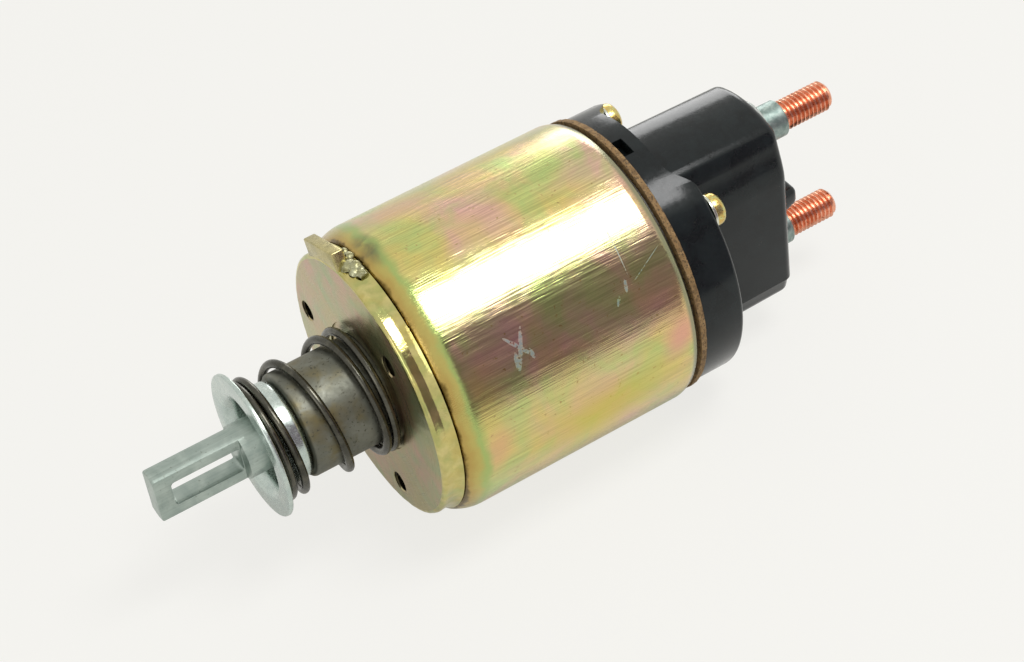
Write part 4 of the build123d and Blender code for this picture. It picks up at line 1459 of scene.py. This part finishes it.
    def build(self) -> None:
        """Builds the cap by joining its forms and cutting its hollows."""
        profile = (
            (self.front, 0.0),
            (self.front, self.flange_radius, 0.25),
            (self.flange_back, self.flange_radius, self.flange_round),
            (self.flange_back, 0.0),
        )
        pad = block(
            (self.flange_back - 1.0, self.blade_y - 2.4, self.blade_z - 5.15),
            (self.flange_back + 1.6, self.blade_y + 2.4, self.blade_z + 5.15),
        )
        soften(pad, 0.3)
        walls = block((60.0, -self.slot_half, -40.0), (130.0, self.slot_half, 40.0))
        slot = cylinder(self.chamber_roof - 1.0, self.chamber_end, self.slot_radius, 96)
        studs = ((0.0, self.stud_z), (0.0, -self.stud_z))
        screws = screw_centres(self.screw_radius)
        cutters = [
            cylinder(self.front - 4.4, self.chamber_roof, self.chamber_radius, 96),
            carve(slot, [(Cut.WITHIN, walls)]),
            cylinder(self.chamber_end - 0.5, self.spring_seat, self.spring_room, 48),
            *(cylinder(105.0, 118.0, self.stud_hole, 40, centre) for centre in studs),
            *(cylinder(72.0, 90.0, self.screw_hole, 24, centre) for centre in screws),
            self.window(),
            block(
                (80.0, self.blade_y - 0.45, self.blade_z - 3.2),
                (90.0, self.blade_y + 0.45, self.blade_z + 3.2),
            ),
        ]
        steps = [
            (Cut.AWAY, self.ledge_cutter(1.0)),
            (Cut.AWAY, self.ledge_cutter(-1.0)),
            (Cut.ON, self.boss()),
            (Cut.ON, self.rib()),
            (Cut.ON, pad),
            *((Cut.AWAY, cutter) for cutter in cutters),
        ]
        cap = carve(lathe(profile, 192), steps)
        self.place(cap, "terminal_cap_moulding", CAP_PHENOLIC, "cap_moulding", ["terminal_cap"], crease=28.0)


@dataclass
class Terminals(Assembly):
    """Copper studs with their collars and seals, and the coil's blade."""

    stud_z: float = 18.0
    radius: float = 4.0
    root: float = 3.3
    pitch: float = 1.25
    neck_radius: float = 4.2
    contact_x: float = 105.5
    head_back: float = 110.5
    head_half: float = 6.0
    head_low: float = 7.5
    head_high: float = 22.3
    boss_back: float = 115.5
    collar_back: float = 124.3
    tip: float = 139.0
    collar_bore: float = 4.27
    collar_radius: float = 4.9
    seal_radius: float = 8.0
    seal_thickness: float = 1.8
    seal_gap: float = 0.01
    blade_front: float = 78.0
    blade_tip: float = 95.7
    blade_corner: float = 1.5
    blade_y: float = 22.115
    blade_z: float = -8.0
    blade_half: float = 3.15
    blade_thickness: float = 0.8
    blade_hole_x: float = 91.3
    blade_hole: float = 0.85

    def build(self) -> None:
        """Builds both studs and what stands at their feet."""
        for name, side in (("battery", 1), ("motor", -1)):
            self.build_stud(name, side)
        self.build_blade()

    def build_stud(self, name: str, side: int) -> None:
        """Builds one stud with its collar and seal.

        Args:
            name: battery or motor.
            side: 1 for the upper stud, -1 for the lower one.
        """
        centre = (0.0, side * self.stud_z)
        low, high = sorted((side * self.head_low, side * self.head_high))
        head = block((self.contact_x, -self.head_half, low), (self.head_back, self.head_half, high))
        soften(head, 0.5, segments=3)
        profile = (
            (self.head_back - 1.0, 0.0),
            (self.head_back - 1.0, self.neck_radius),
            (self.collar_back - 0.4, self.neck_radius, 0.2),
            (self.collar_back, self.root, 0.1),
            (self.collar_back, 0.0),
        )
        neck = lathe(profile, 48, centre=centre)
        shank = thread(self.radius, self.root, self.pitch, self.collar_back - 1.0, self.tip, centre)
        taper_end(shank, self.radius, self.tip, 1.0, centre)
        stud = carve(head, [(Cut.ON, neck), (Cut.ON, shank)])
        self.place(stud, f"{name}_stud_thread", STUD_COPPER, "stud_copper", [f"{name}_stud"])
        profile = (
            (self.boss_back, self.collar_bore),
            (self.boss_back, self.collar_radius),
            (self.collar_back, self.collar_radius, 0.35),
            (self.collar_back, self.collar_bore, 0.2),
        )
        collar = lathe(profile, 48, closed=True, centre=centre)
        self.place(collar, f"{name}_stud_collar", COLLAR_STEEL, "collar_steel", ["stud_collars"])
        front = self.boss_back + self.seal_gap
        back = self.boss_back + self.seal_thickness
        profile = (
            (front, self.collar_radius + 0.05),
            (front, self.seal_radius, 0.3),
            (back, self.seal_radius, 0.6),
            (back, self.collar_radius + 0.05, 0.2),
        )
        seal = lathe(profile, 56, closed=True, centre=centre)
        self.place(seal, f"{name}_stud_seal", SEAL_NYLON, "seal_nylon", ["stud_seals"])

    def build_blade(self) -> None:
        """Builds the coil's blade with its latching hole."""
        shoulder = self.blade_tip - self.blade_corner
        near = self.blade_half - self.blade_corner
        corners = (
            (self.blade_front, -self.blade_half, 0.0),
            (shoulder, -self.blade_half, 0.3),
            (self.blade_tip, -near, 0.3),
            (self.blade_tip, near, 0.3),
            (shoulder, self.blade_half, 0.3),
            (self.blade_front, self.blade_half, 0.0),
        )
        points = [(x, self.blade_y, self.blade_z + z) for x, z, _ in corners]
        blade = prism(points, [size for _, _, size in corners], (0.0, self.blade_thickness, 0.0))
        soften(blade, 0.12)
        hole = cylinder(-2.0, 2.0, self.blade_hole, 24)
        rotate(hole, 90.0, "Z")
        shift(hole, (self.blade_hole_x, self.blade_y, self.blade_z))
        self.place(cut_away(blade, [hole]), "coil_blade", BLADE_TIN, "blade_tin", ["coil_terminal"])


@dataclass
class CapScrews(Assembly):
    """Four pan-head screws with their washers."""

    circle: float = 31.7
    seat: float = 87.0
    flange_back: float = 86.2
    head_radius: float = 4.25
    head_height: float = 3.7
    shank_radius: float = 2.5
    tip: float = 65.0
    washer_radius: float = 4.7
    wing_long: float = 2.3
    wing_half: float = 0.42
    first_turn: float = 20.0
    next_turn: float = 33.0

    def build(self) -> None:
        """Builds the screws and washers."""
        for index, centre in enumerate(screw_centres(self.circle)):
            self.build_screw(index + 1, centre, self.first_turn + self.next_turn * index)

    def recess(self, centre: Centre, turn: float) -> list[Solid]:
        """Cutters for a cross recess.

        Args:
            centre: Place (y, z) of the screw.
            turn: Angle that the screw was left at.

        Returns:
            The two wings of the cross.
        """
        wings = []
        for angle in (turn, turn + 90.0):
            wing = block(
                (self.seat + 1.3, -self.wing_long, -self.wing_half),
                (self.seat + self.head_height + 0.5, self.wing_long, self.wing_half),
            )
            for vert in wing.verts:
                if vert.co.x < self.seat + 2.0:
                    vert.co.y *= 0.35
                    vert.co.z *= 0.5
            rotate(wing, angle)
            shift(wing, (0.0, *centre))
            wings.append(wing)
        return wings

    def build_screw(self, number: int, centre: Centre, turn: float) -> None:
        """Builds one screw and its washer.

        Args:
            number: Which of the four it is.
            centre: Place (y, z) of its axis.
            turn: Angle that it was left at.
        """
        top = self.seat + self.head_height
        profile = (
            (self.tip, 0.0),
            (self.tip, self.shank_radius - 0.6),
            (self.tip + 0.6, self.shank_radius),
            (self.seat, self.shank_radius),
            (self.seat, self.head_radius, 0.25),
            (top - 1.5, self.head_radius - 0.05, 0.7),
            (top - 0.35, self.head_radius - 1.35, 0.8),
            (top, 0.9, 0.5),
            (top, 0.0),
        )
        screw = cut_away(lathe(profile, 48, centre=centre), self.recess(centre, turn))
        self.place(screw, f"cap_screw_{number}", SCREW_ZINC, "screw_zinc", ["cap_screws"], crease=38.0)
        bore = self.shank_radius + 0.25
        profile = (
            (self.flange_back, bore),
            (self.flange_back, self.washer_radius, 0.12),
            (self.seat, self.washer_radius, 0.25),
            (self.seat, bore),
        )
        washer = lathe(profile, 48, closed=True, centre=centre)
        self.place(washer, f"cap_washer_{number}", WASHER_ZINC, "washer_zinc", ["cap_washers"])


@dataclass
class Plunger(Assembly):
    """Steel barrel with its nose, the ring in its mouth, the snap ring and the link's spring."""

    body: str = "plunger_body"
    nose: float = -26.0
    nose_radius: float = 10.4
    shoulder: float = -22.0
    radius: float = 13.7
    tail: float = 29.8
    bore: float = 9.1
    bore_end: float = 1.5
    groove: tuple[float, float] = (-24.2, -23.2)
    groove_radius: float = 9.9
    clip_bore: float = 9.95
    clip_radius: float = 10.85
    clip_sweep: float = 310.0
    ring: tuple[float, float] = (-25.6, -22.6)
    ring_bore: float = 7.1
    ring_radius: float = 9.05
    spring_turns: float = 5.0
    spring_length: float = 19.2
    spring_wire: float = 0.8
    spring_radius: float = 8.05

    def build(self) -> None:
        """Builds the barrel and the small pieces on it."""
        profile = (
            (self.nose, 0.0),
            (self.nose, self.nose_radius, 0.3),
            (self.groove[0], self.nose_radius),
            (self.groove[0], self.groove_radius),
            (self.groove[1], self.groove_radius),
            (self.groove[1], self.nose_radius),
            (self.shoulder, self.nose_radius),
            (self.shoulder, self.radius, 1.0),
            (self.tail, self.radius, 1.3),
            (self.tail, 0.0),
        )
        barrel = cut_away(lathe(profile), [cylinder(self.nose - 1.0, self.bore_end, self.bore, 96)])
        self.place(barrel, "plunger_barrel", PLUNGER_STEEL, "plunger_steel", ["plunger"])
        profile = (
            (self.ring[0], self.ring_bore, 0.3),
            (self.ring[0], self.ring_radius, 0.2),
            (self.ring[1], self.ring_radius),
            (self.ring[1], self.ring_bore),
        )
        self.place(lathe(profile, 80, closed=True), "mouth_ring", LINK_ZINC, "link_zinc", ["link_collar"])
        profile = (
            (self.groove[0], self.clip_bore, 0.15),
            (self.groove[0], self.clip_radius, 0.2),
            (self.groove[1], self.clip_radius, 0.2),
            (self.groove[1], self.clip_bore, 0.15),
        )
        clip = lathe(profile, 80, closed=True, sweep=self.clip_sweep)
        self.place(clip, "snap_ring", SEAT_ZINC, "seat_zinc", ["seat_clip"])
        runs = ((self.spring_turns, self.spring_length / self.spring_turns),)
        spring = coil(runs, self.spring_wire, self.ring[1], (self.spring_radius, self.spring_radius))
        piece = self.place(spring, "link_return_spring", SPRING_WIRE, "spring_steel", ["link_spring"])
        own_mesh(piece)


@dataclass
class SpringSeat(Assembly):
    """Pressed cup under the front end of the return spring."""

    body: str = "return_seat"
    floor: float = -22.0
    brim: float = -31.45
    sheet: float = 1.2
    crown: float = 12.8
    brim_radius: float = 18.9
    hole: float = 10.46
    bend: float = 1.9

    def build(self) -> None:
        """Builds the cup from its sheet's outline."""
        inner = self.crown - self.sheet
        profile = (
            (self.floor, self.hole, 0.1),
            (self.floor, self.crown, self.bend),
            (self.brim, self.crown, self.bend),
            (self.brim, self.brim_radius, 0.3),
            (self.brim - self.sheet, self.brim_radius, 0.45),
            (self.brim - self.sheet, inner, self.bend + self.sheet),
            (self.floor - self.sheet, inner, self.bend - self.sheet),
            (self.floor - self.sheet, self.hole, 0.1),
        )
        cup = lathe(profile, 144, closed=True)
        self.place(cup, "spring_cup", SEAT_ZINC, "seat_zinc", ["spring_seat"])


@dataclass
class ReturnSpring(Assembly):
    """Dark return spring between the cup and the plate."""

    wire: float = 1.075
    front: float = -31.45
    back: float = 0.4
    front_radius: float = 15.0
    rear_radius: float = 15.95
    closed_turns: float = 1.2
    closed_pitch: float = 2.2
    ease_turns: float = 0.3
    ease_pitch: float = 7.0
    open_turns: float = 1.6
    end_turns: float = 1.4
    end_pitch: float = 2.3
    start_clock: float = 46.0
    travel: float = 11.0

    def build(self) -> None:
        """Builds the spring."""
        length = self.back - self.front
        used = self.closed_turns * self.closed_pitch + self.end_turns * self.end_pitch
        used += 2 * self.ease_turns * self.ease_pitch
        ease = (self.ease_turns, self.ease_pitch)
        runs = (
            (self.closed_turns, self.closed_pitch),
            ease,
            (self.open_turns, (length - 2 * self.wire - used) / self.open_turns),
            ease,
            (self.end_turns, self.end_pitch),
        )
        radii = (self.front_radius, self.rear_radius)
        spring = coil(runs, self.wire, self.front, radii, self.start_clock, sides=20, steps=72)
        piece = self.place(spring, "return_spring_wire", SPRING_WIRE, "spring_steel", ["return_spring"])
        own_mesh(piece)


@dataclass
class SlottedLink(Assembly):
    """Flattened round bar with a long slot for the shift lever."""

    body: str = "link"
    tip: float = -58.8
    crease: float = -35.9
    radius: float = 7.0
    half_thickness: float = 2.7
    slot_front: float = -54.5
    slot_rear: float = -36.1
    slot_half: float = 3.65
    slot_round: float = 1.0
    head_front: float = -1.8
    head_back: float = 1.2
    head_radius: float = 8.9

    def build(self) -> None:
        """Builds the link: a turned bar, milled flat on two sides and slotted."""
        profile = (
            (self.tip, 0.0),
            (self.tip, self.radius, 0.6),
            (self.head_front, self.radius),
            (self.head_front, self.head_radius, 0.2),
            (self.head_back, self.head_radius, 0.4),
            (self.head_back, 0.0),
        )
        past = self.radius + 2.0
        cutters = []
        for side in (1, -1):
            low, high = sorted((side * self.half_thickness, side * past))
            cutters.append(block((self.tip - 1.0, low, -past), (self.crease, high, past)))
        front, rear, half = self.slot_front, self.slot_rear, self.slot_half
        corners = ((front, -half), (front, half), (rear, half), (rear, -half))
        points = [(x, -past, z) for x, z in corners]
        cutters.append(prism(points, [self.slot_round] * 4, (0.0, 2 * past, 0.0)))
        link = cut_away(lathe(profile, 96), cutters)
        soften(link, 0.22, angle=55.0)
        self.place(link, "lever_link", LINK_ZINC, "link_zinc", ["slotted_link"])


@dataclass
class ContactSprings(Assembly):
    """The two small springs inside the cap, each from its front to its back."""

    opening: tuple[float, float] = (104.6, 112.5)
    opening_turns: float = 2.5
    opening_wire: float = 0.45
    opening_radius: float = 5.0
    pressing: tuple[float, float] = (83.0, 99.0)
    pressing_turns: float = 3.0
    pressing_wire: float = 0.6
    pressing_radius: float = 3.9

    def wind(self, ends: tuple[float, float], turns: float, wire: float, radius: float) -> Solid:
        """Even coil of a radius between two stations."""
        front, back = ends
        return coil(((turns, (back - front - 2 * wire) / turns),), wire, front, (radius, radius), sides=10)

    def build(self) -> None:
        """Builds both springs, each on its own body."""
        spring = self.wind(self.opening, self.opening_turns, self.opening_wire, self.opening_radius)
        piece = self.place(spring, "contact_opening_spring", SPRING_WIRE, "spring_steel", ["rod_spring"])
        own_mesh(piece)
        self.body = "push_rod"
        spring = self.wind(self.pressing, self.pressing_turns, self.pressing_wire, self.pressing_radius)
        piece = self.place(spring, "contact_pressing_spring", SPRING_WIRE, "spring_steel", ["contact_spring"])
        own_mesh(piece)


@dataclass(frozen=True)
class HiddenPieces:
    """Pieces inside the switch that keep the frame's own shapes and get their finishes."""

    dress: tuple[tuple[str, Finish], ...] = (
        ("guide_sleeve", SLEEVE_BRASS),
        ("coil_bobbin", BOBBIN_NYLON),
        ("pull_in_winding", WINDING_COPPER),
        ("hold_in_winding", WINDING_COPPER),
        ("coil_wrap", WRAP_PAPER),
        ("trigger_lead", WINDING_COPPER),
        ("motor_lead", WINDING_COPPER),
        ("contact_rod", ROD_STEEL),
        ("rod_clip", ROD_STEEL),
        ("contact_disc", STUD_COPPER),
        ("disc_bush_front", BUSH_RESIN),
        ("disc_bush_rear", BUSH_RESIN),
    )

    def build(self) -> None:
        """Gives each listed node its finish, and every other node that of turned steel."""
        chosen = dict(self.dress)
        for name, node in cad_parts.items():
            finish = chosen.get(name, CORE_STEEL)
            node.data.materials.clear()
            node.data.materials.append(WARDROBE.get(finish))
            LOG.info("%s keeps its shape, in %s", name, finish.name)


@dataclass(frozen=True)
class Lamp:
    """One soft lamp.

    Attributes:
        name: Name of the lamp.
        toward: Direction of the lamp from the can's middle.
        distance: Distance in metres.
        size: Its sides along the plunger's axis and across it, in metres.
        power: Power in watts.
    """

    name: str
    toward: tuple[float, float, float]
    distance: float
    size: tuple[float, float]
    power: float

    def build(self, target: Vector) -> None:
        """Builds the lamp, with one of its sides along the plunger's axis.

        Args:
            target: Point that it faces, in metres.
        """
        data = bpy.data.lights.new(self.name, "AREA")
        data.shape = "RECTANGLE"
        data.size, data.size_y = self.size
        data.energy = self.power
        way = Vector(self.toward).normalized()
        side = (AXIS - way * AXIS.dot(way)).normalized()
        turn = Matrix((side, way.cross(side), way)).transposed().to_4x4()
        add_object(self.name, data).matrix_world = Matrix.Translation(target + way * self.distance) @ turn


@dataclass(frozen=True)
class Studio:
    """Pale floor, soft lamps and the camera at the photograph's angle.

    Attributes:
        floor_z: Height of the floor in millimetres.
        floor_half: Half the floor's side in millimetres.
        pale: Colour of floor and background.
        room: Colour of the room's even light.
        room_power: Strength of that light.
        card: Colour of the dark card.
        card_low: One corner of the card in millimetres.
        card_high: Its other corner.
        target: Point that the lamps face, in metres.
        lamps: The lamps.
        eye: Place of the camera in metres.
        view: Right, up and forward of the camera.
        lens: Its focal length in millimetres.
    """

    floor_z: float = -38.02
    floor_half: float = 3000.0
    pale: str = "#f5f4f0"
    room: str = "#f2f2f0"
    room_power: float = 0.5
    card: str = "#9c8c9a"
    card_low: tuple[float, float, float] = (20.0, -244.0, -37.0)
    card_high: tuple[float, float, float] = (460.0, -240.0, 330.0)
    target: tuple[float, float, float] = (0.04, 0.0, 0.0)
    lamps: tuple[Lamp, ...] = (
        Lamp("softbox", (0.25, -0.27, 0.91), 0.9, (0.42, 0.3), 4.6),
        Lamp("fill", (-0.8, -0.35, 0.45), 1.1, (0.5, 0.5), 1.4),
        Lamp("back", (0.585, 0.791, 0.2), 1.14, (0.5, 0.42), 2.6),
    )
    eye: tuple[float, float, float] = (-0.16788, -0.42433, 0.43555)
    view: tuple[tuple[float, float, float], ...] = (
        (0.83997, -0.53077, -0.11282),
        (0.43635, 0.53710, 0.72189),
        (0.32257, 0.65560, -0.68275),
    )
    lens: float = 91.4

    def build(self) -> None:
        """Builds floor, world, lamps and camera."""
        self.build_floor()
        self.build_world()
        for lamp in self.lamps:
            lamp.build(Vector(self.target))
        self.build_card()
        self.build_camera()
        bpy.context.scene.view_settings.view_transform = "Standard"

    def seen(self, tree: Tree, direct: float = 1.0, mirrored: float = 1.0) -> Socket:
        """Share for rays that see the background.

        Args:
            tree: Node tree to add to.
            direct: Share for rays from the camera.
            mirrored: Share for glossy and transmission rays.

        Returns:
            The share, 0 for every other ray.
        """
        rays = add_node(tree, "LightPath").outputs
        shares = (("Is Camera Ray", direct), ("Is Glossy Ray", mirrored), ("Is Transmission Ray", mirrored))
        parts = [chain(tree, "MULTIPLY", (rays[name], share)) for name, share in shares]
        return chain(tree, "MAXIMUM", parts)

    def build_floor(self) -> None:
        """Builds the floor, pale to the eye and still holding the object's shadow."""
        bm = bmesh.new()
        bmesh.ops.create_grid(bm, x_segments=1, y_segments=1, size=self.floor_half)
        shift(bm, (0.0, 0.0, self.floor_z))
        mesh = to_mesh(bm, "floor")
        floor = add_object("floor", mesh)
        material = bpy.data.materials.new("pale_paper_floor")
        material.use_nodes = True
        tree = material.node_tree
        tree.nodes.clear()
        paper = add_node(tree, "BsdfDiffuse", {"Color": srgb(self.pale)})
        glow = add_node(tree, "Emission", {"Color": srgb(self.pale), "Strength": 1.0})
        share = self.seen(tree, direct=0.86, mirrored=0.35)
        both = add_node(tree, "MixShader", {0: share, 1: paper.outputs[0], 2: glow.outputs[0]})
        add_node(tree, "OutputMaterial", {0: both.outputs[0]})
        mesh.materials.append(material)

    def build_world(self) -> None:
        """Builds the even room light and the pale background."""
        world = bpy.data.worlds.new("studio")
        bpy.context.scene.world = world
        world.use_nodes = True
        tree = world.node_tree
        tree.nodes.clear()
        room = add_node(tree, "Background", {"Color": srgb(self.room), "Strength": self.room_power})
        pale = add_node(tree, "Background", {"Color": srgb(self.pale), "Strength": 1.0})
        both = add_node(tree, "MixShader", {0: self.seen(tree), 1: room.outputs[0], 2: pale.outputs[0]})
        add_node(tree, "OutputWorld", {0: both.outputs[0]})

    def build_card(self) -> None:
        """Builds the dark card, which only shows as a mirror image in the plated faces."""
        mesh = to_mesh(block(self.card_low, self.card_high), "dark_card")
        card = add_object("dark_card", mesh)
        material = bpy.data.materials.new("black_card")
        material.use_nodes = True
        inputs = material.node_tree.nodes["Principled BSDF"].inputs
        inputs["Base Color"].default_value = srgb(self.card)
        inputs["Roughness"].default_value = 0.9
        mesh.materials.append(material)
        card.visible_camera = False
        card.visible_diffuse = False
        card.visible_shadow = False

    def build_camera(self) -> None:
        """Builds the camera where the photograph was taken from."""
        data = bpy.data.cameras.new("camera")
        data.lens = self.lens
        data.sensor_width = 36.0
        data.sensor_fit = "HORIZONTAL"
        data.clip_start = 0.01
        data.clip_end = 20.0
        camera = add_object("camera", data)
        right, up, forward = (Vector(way) for way in self.view)
        turn = Matrix((right, up, -forward)).transposed().to_4x4()
        camera.matrix_world = Matrix.Translation(self.eye) @ turn
        bpy.context.scene.camera = camera


def main() -> None:
    """Builds every group of pieces in order."""
    logging.basicConfig(level=logging.INFO, format="%(name)s: %(message)s")
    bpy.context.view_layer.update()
    HiddenPieces().build()
    for group in (
        MountingPlate(),
        Can(),
        TerminalCap(),
        Terminals(),
        CapScrews(),
        Plunger(),
        SpringSeat(),
        ReturnSpring(),
        SlottedLink(),
        ContactSprings(),
    ):
        group.build()
    Studio().build()


if __name__ == "__main__":
    main()
